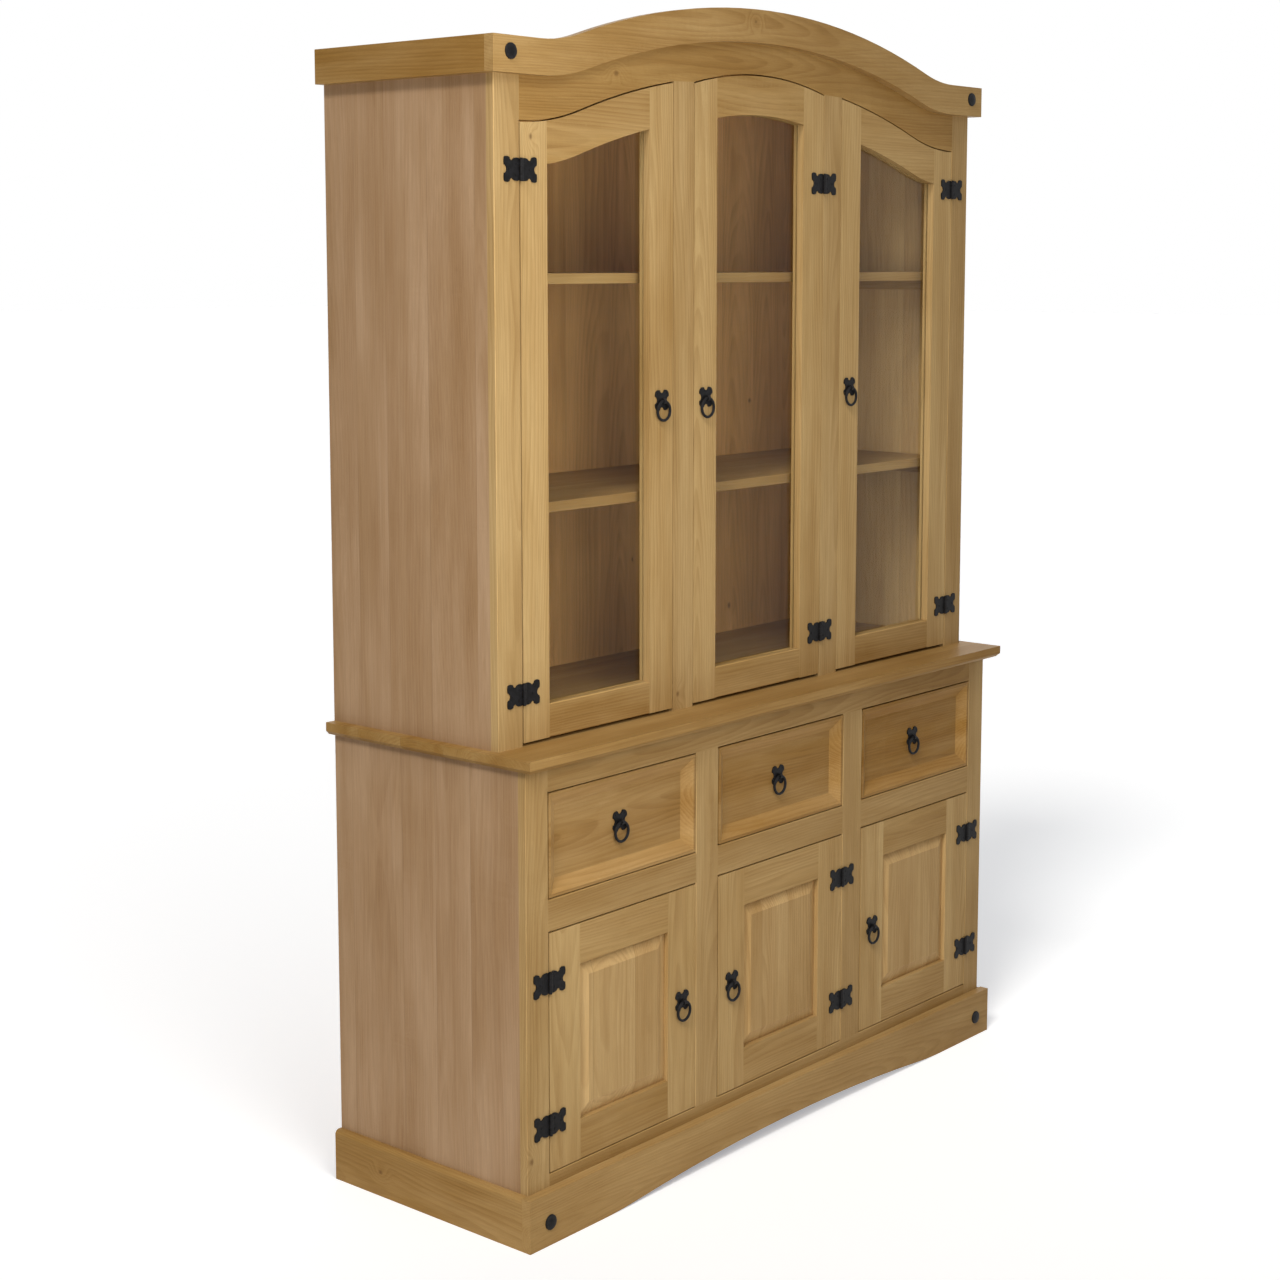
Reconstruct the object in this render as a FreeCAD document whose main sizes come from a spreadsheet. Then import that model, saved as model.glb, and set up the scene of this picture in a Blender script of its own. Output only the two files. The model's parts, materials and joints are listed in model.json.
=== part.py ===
import FreeCAD, Part
import math
import os
import re
import Sketcher

# Buffet and hutch in waxed pine: a sideboard with three drawers and three panelled doors,
# and a hutch with three glazed doors under an arched cornice.
# Millimetres. +Z is up, the front looks along -Y and X runs to the right of someone facing it.
# The origin is on the floor, under the middle of the worktop.

os.makedirs("parts", exist_ok=True)
doc = FreeCAD.newDocument("buffet_and_hutch")
Vector = FreeCAD.Vector

SIZES = {
    # worktop and the way the two halves stand under and on it
    "worktop_width": 1320,
    "worktop_depth": 448,
    "worktop_thickness": 20,
    "worktop_chamfer": 6,
    "worktop_side_overhang": 18,
    "worktop_front_overhang": 27,
    "hutch_setback": 55,
    # boards shared by both halves
    "board_thickness": 18,
    "back_thickness": 6,
    "frame_thickness": 15,
    "shelf_thickness": 16,
    "shelf_side_gap": 0.5,
    "cleat_size": 18,
    "cleat_setback": 30,
    # heights of the buffet, from the floor up
    "sill_height": 104,
    "bottom_rail": 44,
    "door_opening": 382,
    "drawer_rail": 51,
    "drawer_opening": 166.5,
    "top_rail": 41.5,
    "bottom_step": 4,
    "buffet_outer_stile": 49,
    "buffet_mid_stile": 58,
    "buffet_shelf_height": 186,
    "buffet_shelf_setback": 85,
    # plinth
    "plinth_height": 84,
    "plinth_front_thickness": 17,
    "plinth_side_thickness": 13,
    "plinth_side_round": 8,
    "plinth_arch_end": 165,
    "plinth_arch_rise": 22,
    "plinth_arch_ease": 900,
    # drawers
    "drawer_gap": 2,
    "drawer_front_thickness": 22,
    "drawer_rim": 5,
    "drawer_bevel": 20,
    "drawer_recess": 12,
    "drawer_side_clearance": 1,
    "drawer_run_clearance": 0.3,
    "drawer_side_thickness": 12,
    "drawer_side_height": 125,
    "drawer_back_space": 43,
    "drawer_bottom_thickness": 6,
    "drawer_bottom_lift": 10,
    "drawer_groove_depth": 5,
    "drawer_groove_clearance": 0.2,
    "drawer_deck_thickness": 15,
    "drawer_guide_height": 30,
    "drawer_pull_lift": 3.5,
    # panelled doors of the buffet
    "door_gap": 2,
    "door_thickness": 20,
    "door_stile": 70,
    "door_rail": 64,
    "panel_set_in": 2,
    "panel_bevel": 22,
    "panel_bevel_depth": 7,
    "panel_tongue": 6,
    "panel_tongue_depth": 8,
    "panel_clearance": 0.2,
    "panel_sight_gap": 0.3,
    # hutch carcass
    "sash_opening": 939,
    "hutch_lid_clearance": 1.6,
    "hutch_top_thickness": 15,
    "hutch_outer_stile": 54,
    "hutch_mid_stile": 51,
    "hutch_shelf_setback": 14,
    "hutch_lower_shelf": 363.5,
    "hutch_upper_shelf": 714.5,
    "door_stop_clearance": 1,
    # frieze: its lower edge swells over the outer bays and arches over the middle bay
    "frieze_rise": 97,
    "frieze_ease": 420,
    "frieze_set_down": 10,
    "mid_arch_spring": 80,
    "mid_arch_rise": 22.4,
    # cornice
    "cornice_width": 53.5,
    "cornice_thickness": 18,
    "crown_flat": 100,
    "crown_rise": 86.5,
    "crown_ease": 300,
    # glazed doors of the hutch
    "sash_lift": 5,
    "sash_top_gap": 2.5,
    "sash_thickness": 22,
    "sash_stile": 58,
    "sash_bottom_rail": 53,
    "sash_top_rail": 64,
    "glass_thickness": 4,
    "glass_set_in": 13,
    "glass_lap": 8,
    "glass_clearance": 0.2,
    # butterfly hinges
    "hinge_axis_out": 3.2,
    "knuckle_radius": 3,
    "knuckle_gap": 0.3,
    "barrel_height": 32,
    "pin_radius": 1.5,
    "pin_clearance": 0.05,
    "pin_head_radius": 2.4,
    "pin_head_height": 1.2,
    "leaf_thickness": 2,
    "leaf_root_gap": 0.4,
    "leaf_reach": 34.5,
    "leaf_belly": 15.5,
    "leaf_shoulder": 15.2,
    "leaf_ear_width": 11,
    "leaf_ear_height": 17,
    "leaf_ear_corner": 17.4,
    "leaf_end_notch": 6.2,
    "leaf_belly_bow": 1.4,
    "leaf_notch_bow": 3.2,
    "leaf_ear_bow": 1.6,
    "leaf_flank_bow": 0.7,
    "leaf_end_bow": 5.2,
    "door_hinge_inset": 78.5,
    "sash_hinge_low": 81,
    "sash_hinge_high": 72,
    # ring pulls
    "plate_size": 32,
    "plate_thickness": 2.5,
    "plate_ear": 10.4,
    "plate_ear_bow": 4.6,
    "plate_notch_bow": 4.8,
    "eye_drop": 1.5,
    "eye_set_off": 0.3,
    "eye_wall": 1.5,
    "eye_length": 6,
    "eye_clearance": 0.65,
    "ring_radius": 15.5,
    "ring_wire": 2.25,
    "door_pull_height": 193,
    "sash_pull_height": 512,
    # domed studs
    "stud_radius": 12,
    "stud_height": 4,
    "stud_rim": 1,
    "stud_shoulder": 2,
    "cornice_stud_inset": 36,
    "cornice_stud_drop": 23,
    "plinth_stud_inset": 45.5,
    "plinth_stud_height": 37.5,
}

dims = doc.addObject("Spreadsheet::Sheet", "dims")
for row, (alias, size) in enumerate(SIZES.items(), start=1):
    dims.set(f"A{row}", alias)
    dims.set(f"B{row}", str(size))
    dims.setAlias(f"B{row}", alias)
doc.recompute()

NODES = {}


# Expressions

def bound(text):
    """Expression with every size name pointed at its cell of the sheet."""
    return re.sub(r"[a-z][a-z_]*", lambda word: f"dims.{word[0]}" if word[0] in SIZES else word[0], text)


def value(text):
    """Present number of an expression."""
    return float(dims.evalExpression(bound(text)))


def bind(thing, **properties):
    """Ties properties of an object to expressions."""
    for name, text in properties.items():
        thing.setExpression(name, bound(text))


def place(thing, x="0", y="0", z="0"):
    """Ties the position of an object to expressions."""
    for axis, text in zip("xyz", (x, y, z)):
        thing.setExpression(f"Placement.Base.{axis}", bound(text))


# Solids

def board(name, x, y, z):
    """Rectangular board between the low and high limits on each axis."""
    box = doc.addObject("Part::Box", name)
    for side, (low, high) in zip(("Length", "Width", "Height"), (x, y, z)):
        bind(box, **{side: f"({high}) - ({low})"})
    place(box, x[0], y[0], z[0])
    return box


def tapered(name, y, front, rear):
    """Block whose outline changes evenly from a front rectangle to a rear one, each (x limits, z limits)."""
    wedge = doc.addObject("Part::Wedge", name)
    (front_x, front_z), (rear_x, rear_z) = front, rear
    bind(wedge, Ymin=y[0], Ymax=y[1])
    bind(wedge, Xmin=front_x[0], Xmax=front_x[1], Zmin=front_z[0], Zmax=front_z[1])
    bind(wedge, X2min=rear_x[0], X2max=rear_x[1], Z2min=rear_z[0], Z2max=rear_z[1])
    return wedge


def rod(name, radius, length, base, turn=None):
    """Cylinder along Z, or along the axis that a turn gives it."""
    cylinder = doc.addObject("Part::Cylinder", name)
    bind(cylinder, Radius=radius, Height=length)
    if turn:
        cylinder.Placement.Rotation = turn
    place(cylinder, *base)
    return cylinder


def cut(name, base, tool):
    """One object with another taken out of it."""
    result = doc.addObject("Part::Cut", name)
    result.Base = base
    result.Tool = tool
    return result


def fuse(name, *pieces):
    """Pieces made as one solid."""
    result = doc.addObject("Part::MultiFuse", name)
    result.Shapes = list(pieces)
    return result


def copy_of(original, name, x, y, z, turned=False):
    """The original again at another place, turned half round about the vertical plane's normal if asked."""
    link = doc.addObject("App::Link", name)
    link.LinkedObject = original
    if turned:
        link.Placement.Rotation = FreeCAD.Rotation(Vector(0, 1, 0), 180)
    place(link, x, y, z)
    return link


def node(name, *pieces):
    """Names one sub-part, gathering its pieces where it has several."""
    whole = pieces[0]
    if len(pieces) > 1 or whole.TypeId == "App::Link":
        whole = doc.addObject("Part::Compound", name)
        whole.Links = list(pieces)
    whole.Label = name
    NODES[name] = whole
    return whole


# Outlines in the front plane: corners (x, z) counter-clockwise as seen from the front. A corner that
# starts an arc adds the arc's radius and whether it bows out of the outline or into it.

def arc_between(start, stop, radius, side):
    """Shorter arc between two points, bowing out of a counter-clockwise outline or into it."""
    chord = stop - start
    normal = Vector(-chord.y, chord.x, 0).normalize()
    rise = math.sqrt(radius ** 2 - (chord.Length / 2) ** 2)
    centre = (start + stop) * 0.5 + normal * (rise if side == "out" else -rise)
    first, last = (start, stop) if side == "out" else (stop, start)
    angles = [math.atan2(point.y - centre.y, point.x - centre.x) for point in (first, last)]
    return Part.ArcOfCircle(Part.Circle(centre, Vector(0, 0, 1), radius), *angles)


def fix(sketch, text, *constraint):
    """Adds a dimension to a sketch and ties it to an expression."""
    index = sketch.addConstraint(Sketcher.Constraint(*constraint, value(text)))
    sketch.setExpression(f"Constraints[{index}]", bound(text))


def draw(sketch, outline):
    """Draws a closed outline of lines and arcs, with every corner and radius tied to the sheet."""
    count = len(outline)
    points = [Vector(value(corner[0]), value(corner[1]), 0) for corner in outline]
    ends = []
    for index, corner in enumerate(outline):
        start, stop = points[index], points[(index + 1) % count]
        if len(corner) == 2:
            sketch.addGeometry(Part.LineSegment(start, stop))
            ends.append((1, 2))
        else:
            radius, side = corner[2:]
            sketch.addGeometry(arc_between(start, stop, value(radius), side))
            ends.append((1, 2) if side == "out" else (2, 1))
    for index in range(count):
        following = (index + 1) % count
        join = (index, ends[index][1], following, ends[following][0])
        sketch.addConstraint(Sketcher.Constraint("Coincident", *join))
    for index, corner in enumerate(outline):
        fix(sketch, corner[0], "DistanceX", -1, 1, index, ends[index][0])
        fix(sketch, corner[1], "DistanceY", -1, 1, index, ends[index][0])
        if len(corner) > 2:
            fix(sketch, corner[2], "Radius", index)


def origin_plane(body, role):
    """One of a body's own base planes."""
    return next(plane for plane in body.Origin.OriginFeatures if plane.Role == role)


def sketch_on(body, role, name):
    """Empty sketch on one of a body's base planes."""
    sketch = body.newObject("Sketcher::SketchObject", name)
    sketch.AttachmentSupport = [(origin_plane(body, role), "")]
    sketch.MapMode = "FlatFace"
    return sketch


def sawn(name, outline, front, thickness):
    """Board sawn to an outline in the front plane, from its front face back through its thickness."""
    body = doc.addObject("PartDesign::Body", name)
    sketch = sketch_on(body, "XZ_Plane", f"{name}_outline")
    draw(sketch, outline)
    pad = body.newObject("PartDesign::Pad", f"{name}_pad")
    pad.Profile = sketch
    bind(pad, Length=thickness)
    place(body, y=f"({front}) + ({thickness})")
    return body


def mirrored(outline):
    """The same outline on the other side of the middle plane."""
    corners = [(f"-({corner[0]})", corner[1]) for corner in reversed(outline)]
    bends = [corner[2:] for corner in outline]
    bends = bends[-2::-1] + bends[-1:]
    return [corner + bend for corner, bend in zip(corners, bends)]


def bowed(outline):
    """Outline whose arcs are given by the height of their bow instead of their radius."""
    result = []
    for corner, following in zip(outline, outline[1:] + outline[:1]):
        if len(corner) == 2:
            result.append(corner)
            continue
        x, z, bow, side = corner
        chord = f"(({following[0]}) - ({x}))^2 + (({following[1]}) - ({z}))^2"
        result.append((x, z, f"(({chord}) / (8 * {bow}) + {bow} / 2)", side))
    return result


def swell(half, rise, ease, base):
    """Curve that leaves a level line at a half width, eases up and domes over the middle:
    the dome's radius and the point where easing turns into dome."""
    dome = f"((({half})^2 + {rise}^2) / (2 * {rise}) - {ease})"
    turn_x = f"({half} * {dome} / ({dome} + {ease}))"
    turn_z = f"({base} + {rise} * {ease} / ({dome} + {ease}))"
    return dome, turn_x, turn_z


def both_sides(text_pair):
    """Limits on the right of the middle plane and the same on its left."""
    low, high = text_pair
    return [(low, high), (f"-({high})", f"-({low})")]


# Lines that the boards are set out from

BACK = "(worktop_depth / 2)"
BACK_INSIDE = "(worktop_depth / 2 - back_thickness)"
BUFFET_FACE = "(worktop_front_overhang - worktop_depth / 2)"
BUFFET_INSIDE = f"({BUFFET_FACE} + frame_thickness)"
HUTCH_FACE = f"({BUFFET_FACE} + hutch_setback)"
HUTCH_INSIDE = f"({HUTCH_FACE} + frame_thickness)"
HUTCH_STOP = f"({HUTCH_FACE} + sash_thickness + door_stop_clearance)"

BODY = "(worktop_width / 2 - worktop_side_overhang)"
INNER = f"({BODY} - board_thickness)"


def bays(outer_stile, mid_stile):
    """Face frame set out in three equal bays: the edge of the outer stile, the width of a bay,
    the two edges of a middle stile, and the middle of each bay."""
    edge = f"({BODY} - {outer_stile})"
    width = f"(2 * ({BODY} - {outer_stile} - {mid_stile}) / 3)"
    step = f"({width} + {mid_stile})"
    centres = {"left": f"(-1 * {step})", "middle": f"(0 * {step})", "right": step}
    return edge, width, f"({width} / 2)", f"({width} / 2 + {mid_stile})", centres


OUTER, OPENING, MID_IN, MID_OUT, BAYS = bays("buffet_outer_stile", "buffet_mid_stile")
SASH_OUTER, SASH_OPENING, SASH_MID_IN, SASH_MID_OUT, SASH_BAYS = bays("hutch_outer_stile", "hutch_mid_stile")

RAIL = "(sill_height + door_opening)"
DECK = f"({RAIL} + drawer_rail)"
TOP_RAIL = f"({DECK} + drawer_opening)"
UNDER = f"({TOP_RAIL} + top_rail)"
TOP = f"({UNDER} + worktop_thickness)"
BOTTOM = "(sill_height - bottom_step)"

FRIEZE_END = f"({TOP} + sash_opening)"
SPRING = f"({FRIEZE_END} + mid_arch_spring)"
HUTCH_LID = f"({SPRING} + mid_arch_rise + hutch_lid_clearance)"
END = f"({HUTCH_LID} + hutch_top_thickness)"
DOME, TURN_X, TURN_Z = swell(SASH_OUTER, "frieze_rise", "frieze_ease", FRIEZE_END)
ARCH = f"(({SASH_MID_IN}^2 + mid_arch_rise^2) / (2 * mid_arch_rise))"


def easing_height(x):
    """Lower edge of the frieze over the outer part of an outer bay."""
    return f"({FRIEZE_END} + frieze_ease - sqrt(frieze_ease^2 - ({SASH_OUTER} - {x})^2))"


def dome_height(x):
    """Lower edge of the frieze over the inner part of an outer bay."""
    return f"({FRIEZE_END} + frieze_rise - {DOME} + sqrt({DOME}^2 - {x}^2))"


def arch_height(x):
    """Lower edge of the frieze over the middle bay."""
    return f"({SPRING} + mid_arch_rise - {ARCH} + sqrt({ARCH}^2 - {x}^2))"


# Plinth

plinth_half = f"({BODY} + plinth_side_thickness)"
arch_half = f"({plinth_half} - plinth_arch_end)"
plinth_dome, plinth_x, plinth_z = swell(arch_half, "plinth_arch_rise", "plinth_arch_ease", "0")
node("plinth_front", sawn("plinth_front", [
    (f"-{plinth_half}", "0"),
    (f"-{arch_half}", "0", "plinth_arch_ease", "out"),
    (f"-{plinth_x}", plinth_z, plinth_dome, "in"),
    (plinth_x, plinth_z, "plinth_arch_ease", "out"),
    (arch_half, "0"),
    (plinth_half, "0"),
    (plinth_half, "plinth_height"),
    (f"-{plinth_half}", "plinth_height"),
], f"{BUFFET_FACE} - plinth_front_thickness", "plinth_front_thickness"))

plinth_section = [
    (BODY, "0"),
    (plinth_half, "0"),
    (plinth_half, "plinth_height - plinth_side_round", "plinth_side_round", "out"),
    (f"{plinth_half} - plinth_side_round", "plinth_height"),
    (BODY, "plinth_height"),
]
node("plinth_sides", *[
    sawn(f"plinth_{hand}", outline, BUFFET_FACE, f"{BACK} - {BUFFET_FACE}")
    for hand, outline in (("right", plinth_section), ("left", mirrored(plinth_section)))
])

# Carcass of the buffet

node("buffet_sides", *[
    board("buffet_side", limits, (BUFFET_INSIDE, BACK), ("0", UNDER))
    for limits in both_sides((INNER, BODY))
])
across = (f"-{INNER}", INNER)
node("buffet_bottom", board(
    "buffet_bottom", across, (BUFFET_INSIDE, BACK_INSIDE), (f"{BOTTOM} - board_thickness", BOTTOM)))
node("buffet_back", board(
    "buffet_back", across, (BACK_INSIDE, BACK), (f"{BOTTOM} - board_thickness", UNDER)))
node("drawer_deck", board(
    "drawer_deck", across, (BUFFET_INSIDE, BACK_INSIDE), (f"{DECK} - drawer_deck_thickness", DECK)))
node("drawer_guides", *[
    board("drawer_guide", limits, (BUFFET_INSIDE, BACK_INSIDE), (DECK, f"{DECK} + drawer_guide_height"))
    for pair in ((OUTER, INNER), (MID_IN, MID_OUT))
    for limits in both_sides(pair)
])

# Face frame of the buffet

buffet_frame = (BUFFET_FACE, BUFFET_INSIDE)
node("buffet_stiles", *[
    board("buffet_stile", limits, buffet_frame, height)
    for pair, height in (((OUTER, BODY), ("0", UNDER)), ((MID_IN, MID_OUT), ("sill_height", TOP_RAIL)))
    for limits in both_sides(pair)
])
between_stiles = (f"-{OUTER}", OUTER)
bay_limits = {bay: (f"{centre} - {OPENING} / 2", f"{centre} + {OPENING} / 2") for bay, centre in BAYS.items()}
node(
    "buffet_rails",
    board("buffet_top_rail", between_stiles, buffet_frame, (TOP_RAIL, UNDER)),
    board("buffet_bottom_rail", between_stiles, buffet_frame, ("sill_height - bottom_rail", "sill_height")),
    *[board("drawer_rail_piece", limits, buffet_frame, (RAIL, DECK)) for limits in bay_limits.values()],
)

# Worktop, its lower edge chamfered on the front and both ends

worktop = doc.addObject("PartDesign::Body", "worktop")
worktop_sketch = sketch_on(worktop, "XY_Plane", "worktop_outline")
draw(worktop_sketch, [
    ("-worktop_width / 2", "-worktop_depth / 2"),
    ("worktop_width / 2", "-worktop_depth / 2"),
    ("worktop_width / 2", "worktop_depth / 2"),
    ("-worktop_width / 2", "worktop_depth / 2"),
])
worktop_pad = worktop.newObject("PartDesign::Pad", "worktop_pad")
worktop_pad.Profile = worktop_sketch
bind(worktop_pad, Length="worktop_thickness")
doc.recompute()
lower_edges = []
for number, edge in enumerate(worktop_pad.Shape.Edges, start=1):
    middle = edge.CenterOfMass
    if middle.z < value("worktop_thickness") / 4 and middle.y < value("worktop_depth") / 4:
        lower_edges.append(f"Edge{number}")
worktop_chamfer = worktop.newObject("PartDesign::Chamfer", "worktop_chamfers")
worktop_chamfer.Base = (worktop_pad, lower_edges)
bind(worktop_chamfer, Size="worktop_chamfer")
place(worktop, z=UNDER)
node("worktop", worktop)

# Carcass of the hutch

node("hutch_sides", *[
    board("hutch_side", limits, (HUTCH_INSIDE, BACK), (TOP, HUTCH_LID))
    for limits in both_sides((INNER, BODY))
])
node("hutch_bottom", board(
    "hutch_bottom", across, (HUTCH_STOP, BACK_INSIDE), (TOP, f"{TOP} + board_thickness")))
node("hutch_top", board("hutch_top", (f"-{BODY}", BODY), (HUTCH_INSIDE, BACK), (HUTCH_LID, END)))
node("hutch_back", board("hutch_back", across, (BACK_INSIDE, BACK), (TOP, HUTCH_LID)))

# Shelves, each on a cleat at either end

shelf_across = (f"-({INNER} - shelf_side_gap)", f"{INNER} - shelf_side_gap")
cleats = []


def shelf(name, front, top):
    """Full-width shelf from a front line to the back, with its two cleats."""
    under = f"{top} - shelf_thickness"
    for limits in both_sides((f"{INNER} - cleat_size", INNER)):
        run = (f"{front} + cleat_setback", BACK_INSIDE)
        cleats.append(board("cleat", limits, run, (f"{under} - cleat_size", under)))
    return board(name, shelf_across, (front, BACK_INSIDE), (under, top))


buffet_shelf_front = f"({BUFFET_FACE} + door_thickness + buffet_shelf_setback)"
hutch_shelf_front = f"({HUTCH_FACE} + sash_thickness + hutch_shelf_setback)"
node("buffet_shelf", shelf("buffet_shelf", buffet_shelf_front, "sill_height + buffet_shelf_height"))
node("hutch_shelves", *[
    shelf("hutch_shelf", hutch_shelf_front, f"{TOP} + {height}")
    for height in ("hutch_lower_shelf", "hutch_upper_shelf")
])
node("shelf_cleats", *cleats)

# Face frame of the hutch, with the frieze across its top

mid_stile_outline = [
    (SASH_MID_IN, TOP),
    (SASH_MID_OUT, TOP),
    (SASH_MID_OUT, dome_height(SASH_MID_OUT)),
    (SASH_MID_IN, SPRING),
]
node(
    "hutch_stiles",
    *[board("hutch_stile", limits, (HUTCH_FACE, HUTCH_INSIDE), (TOP, END))
      for limits in both_sides((SASH_OUTER, BODY))],
    sawn("hutch_mid_stile_right", mid_stile_outline, HUTCH_FACE, "frame_thickness"),
    sawn("hutch_mid_stile_left", mirrored(mid_stile_outline), HUTCH_FACE, "frame_thickness"),
)

crown_half = f"({BODY} + cornice_thickness - crown_flat)"
crown_dome, crown_x, crown_z = swell(crown_half, "crown_rise", "crown_ease", END)


def crown_edge(half, drop):
    """Upper edge of a board that follows the crown, from its right end to its left, lowered by a drop."""
    return [
        (half, f"{END} - {drop}"),
        (crown_half, f"{END} - {drop}", "crown_ease", "in"),
        (crown_x, f"{crown_z} - {drop}", crown_dome, "out"),
        (f"-{crown_x}", f"{crown_z} - {drop}", "crown_ease", "in"),
        (f"-{crown_half}", f"{END} - {drop}"),
        (f"-{half}", f"{END} - {drop}"),
    ]


node("frieze", sawn("frieze", [
    (f"-{SASH_OUTER}", FRIEZE_END, "frieze_ease", "out"),
    (f"-{TURN_X}", TURN_Z, DOME, "in"),
    (f"-{SASH_MID_OUT}", dome_height(SASH_MID_OUT)),
    (f"-{SASH_MID_IN}", SPRING, ARCH, "in"),
    (SASH_MID_IN, SPRING),
    (SASH_MID_OUT, dome_height(SASH_MID_OUT), DOME, "in"),
    (TURN_X, TURN_Z, "frieze_ease", "out"),
    (SASH_OUTER, FRIEZE_END),
    *crown_edge(SASH_OUTER, "frieze_set_down"),
], HUTCH_FACE, "frame_thickness"))

# Cornice: the front board is bent to the crown and keeps its width along the curve

cornice_half = f"({BODY} + cornice_thickness)"
cornice_foot = f"({END} - cornice_width)"
crown_centre = f"({END} + crown_rise - {crown_dome})"
under_dome = f"({crown_dome} - cornice_width)"
under_x = f"({crown_x} * {under_dome} / {crown_dome})"
under_z = f"({crown_centre} + ({crown_z} - {crown_centre}) * {under_dome} / {crown_dome})"
under_ease = "(crown_ease + cornice_width)"
node("cornice_front", sawn("cornice_front", [
    (f"-{cornice_half}", cornice_foot),
    (f"-{crown_half}", cornice_foot, under_ease, "out"),
    (f"-{under_x}", under_z, under_dome, "in"),
    (under_x, under_z, under_ease, "out"),
    (crown_half, cornice_foot),
    (cornice_half, cornice_foot),
    *crown_edge(cornice_half, "0"),
], f"{HUTCH_FACE} - cornice_thickness", "cornice_thickness"))
node("cornice_sides", *[
    board("cornice_side", limits, (HUTCH_FACE, BACK), (cornice_foot, END))
    for limits in both_sides((BODY, cornice_half))
])

# Hinge patterns: two leaves and a pin about a vertical axis at the origin, with the face of the wood at y = 0

root = "(knuckle_radius + leaf_root_gap)"
root_height = "(barrel_height / 2)"
ear_start = "(leaf_reach - leaf_ear_width)"
leaf_outline = bowed([
    (root, f"-{root_height}", "leaf_belly_bow", "out"),
    ("leaf_belly", "-leaf_shoulder", "leaf_notch_bow", "in"),
    (ear_start, "-leaf_ear_height", "leaf_ear_bow", "out"),
    ("leaf_reach", "-leaf_ear_corner", "leaf_flank_bow", "out"),
    ("leaf_reach", "-leaf_end_notch", "leaf_end_bow", "in"),
    ("leaf_reach", "leaf_end_notch", "leaf_flank_bow", "out"),
    ("leaf_reach", "leaf_ear_corner", "leaf_ear_bow", "out"),
    (ear_start, "leaf_ear_height", "leaf_notch_bow", "in"),
    ("leaf_belly", "leaf_shoulder", "leaf_belly_bow", "out"),
    (root, root_height),
])
axis_y = "(-hinge_axis_out)"
plate_depth = ("-leaf_thickness", "0")
barrel = rod("barrel_bore", "pin_radius + pin_clearance", "barrel_height", ("0", axis_y, "-barrel_height / 2"))


def leaf(name, outline, reach, spans):
    """Leaf plate with a tab and a knuckle for each span of the barrel that it takes."""
    pieces = [sawn(f"{name}_plate", outline, "-leaf_thickness", "leaf_thickness")]
    for low, high in spans:
        pieces.append(board(f"{name}_tab", reach, plate_depth, (low, high)))
        pieces.append(rod(f"{name}_knuckle", "knuckle_radius", f"({high}) - ({low})", ("0", axis_y, low)))
    return cut(name, fuse(f"{name}_blank", *pieces), barrel)


third = "barrel_height / 6"
tab_reach = f"{root} + leaf_root_gap"
door_leaf = leaf("door_leaf", leaf_outline, ("0", tab_reach), [(f"-{third}", third)])
frame_leaf = leaf("frame_leaf", mirrored(leaf_outline), (f"-({tab_reach})", "0"), [
    ("-barrel_height / 2", f"-({third} + knuckle_gap)"),
    (f"{third} + knuckle_gap", "barrel_height / 2"),
])
pin_foot = "-barrel_height / 2 - pin_head_height"
hinge_pin = fuse(
    "hinge_pin",
    rod("pin_shank", "pin_radius", "barrel_height + 2 * pin_head_height", ("0", axis_y, pin_foot)),
    rod("pin_foot_head", "pin_head_radius", "pin_head_height", ("0", axis_y, pin_foot)),
    rod("pin_top_head", "pin_head_radius", "pin_head_height", ("0", axis_y, "barrel_height / 2")),
)

# Ring pull pattern: plate with an eye, centred at the origin, with the face of the wood at y = 0

plate_half = "(plate_size / 2)"
plate_ear = "(plate_size / 2 - plate_ear)"
plate_outline = bowed([
    (plate_half, plate_ear, "plate_ear_bow", "out"),
    (plate_ear, plate_half, "plate_notch_bow", "in"),
    (f"-{plate_ear}", plate_half, "plate_ear_bow", "out"),
    (f"-{plate_half}", plate_ear, "plate_notch_bow", "in"),
    (f"-{plate_half}", f"-{plate_ear}", "plate_ear_bow", "out"),
    (f"-{plate_ear}", f"-{plate_half}", "plate_notch_bow", "in"),
    (plate_ear, f"-{plate_half}", "plate_ear_bow", "out"),
    (plate_half, f"-{plate_ear}", "plate_notch_bow", "in"),
])
eye_bore = "(ring_wire + eye_clearance)"
eye_out = f"(plate_thickness + eye_set_off + {eye_bore})"
along_x = FreeCAD.Rotation(Vector(0, 1, 0), 90)
eye_at = ("-eye_length / 2", f"-{eye_out}", "-eye_drop")
eye = rod("pull_eye", f"{eye_bore} + eye_wall", "eye_length", eye_at, along_x)
plate = sawn("pull_plate", plate_outline, "-plate_thickness", "plate_thickness")
pull = cut("pull", fuse("pull_blank", plate, eye), rod("pull_bore", eye_bore, "eye_length", eye_at, along_x))


def ring(name, x, face, z):
    """Ring hanging in the eye of a pull whose plate is centred at x and z on a face."""
    torus = doc.addObject("Part::Torus", name)
    bind(torus, Radius1="ring_radius", Radius2="ring_wire")
    torus.Placement.Rotation = FreeCAD.Rotation(Vector(1, 0, 0), 90)
    place(torus, x, f"{face} - {eye_out}", f"{z} - eye_drop - ring_radius")
    return node(name, torus)


# Drawers: a front with a bevelled recess, and a box with its bottom let into grooves

drawer_rear = f"({BUFFET_FACE} + drawer_front_thickness)"
drawer_end = f"({BACK_INSIDE} - drawer_back_space)"
drawer_floor = f"({DECK} + drawer_run_clearance)"
bottom_level = f"({drawer_floor} + drawer_bottom_lift)"

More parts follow.
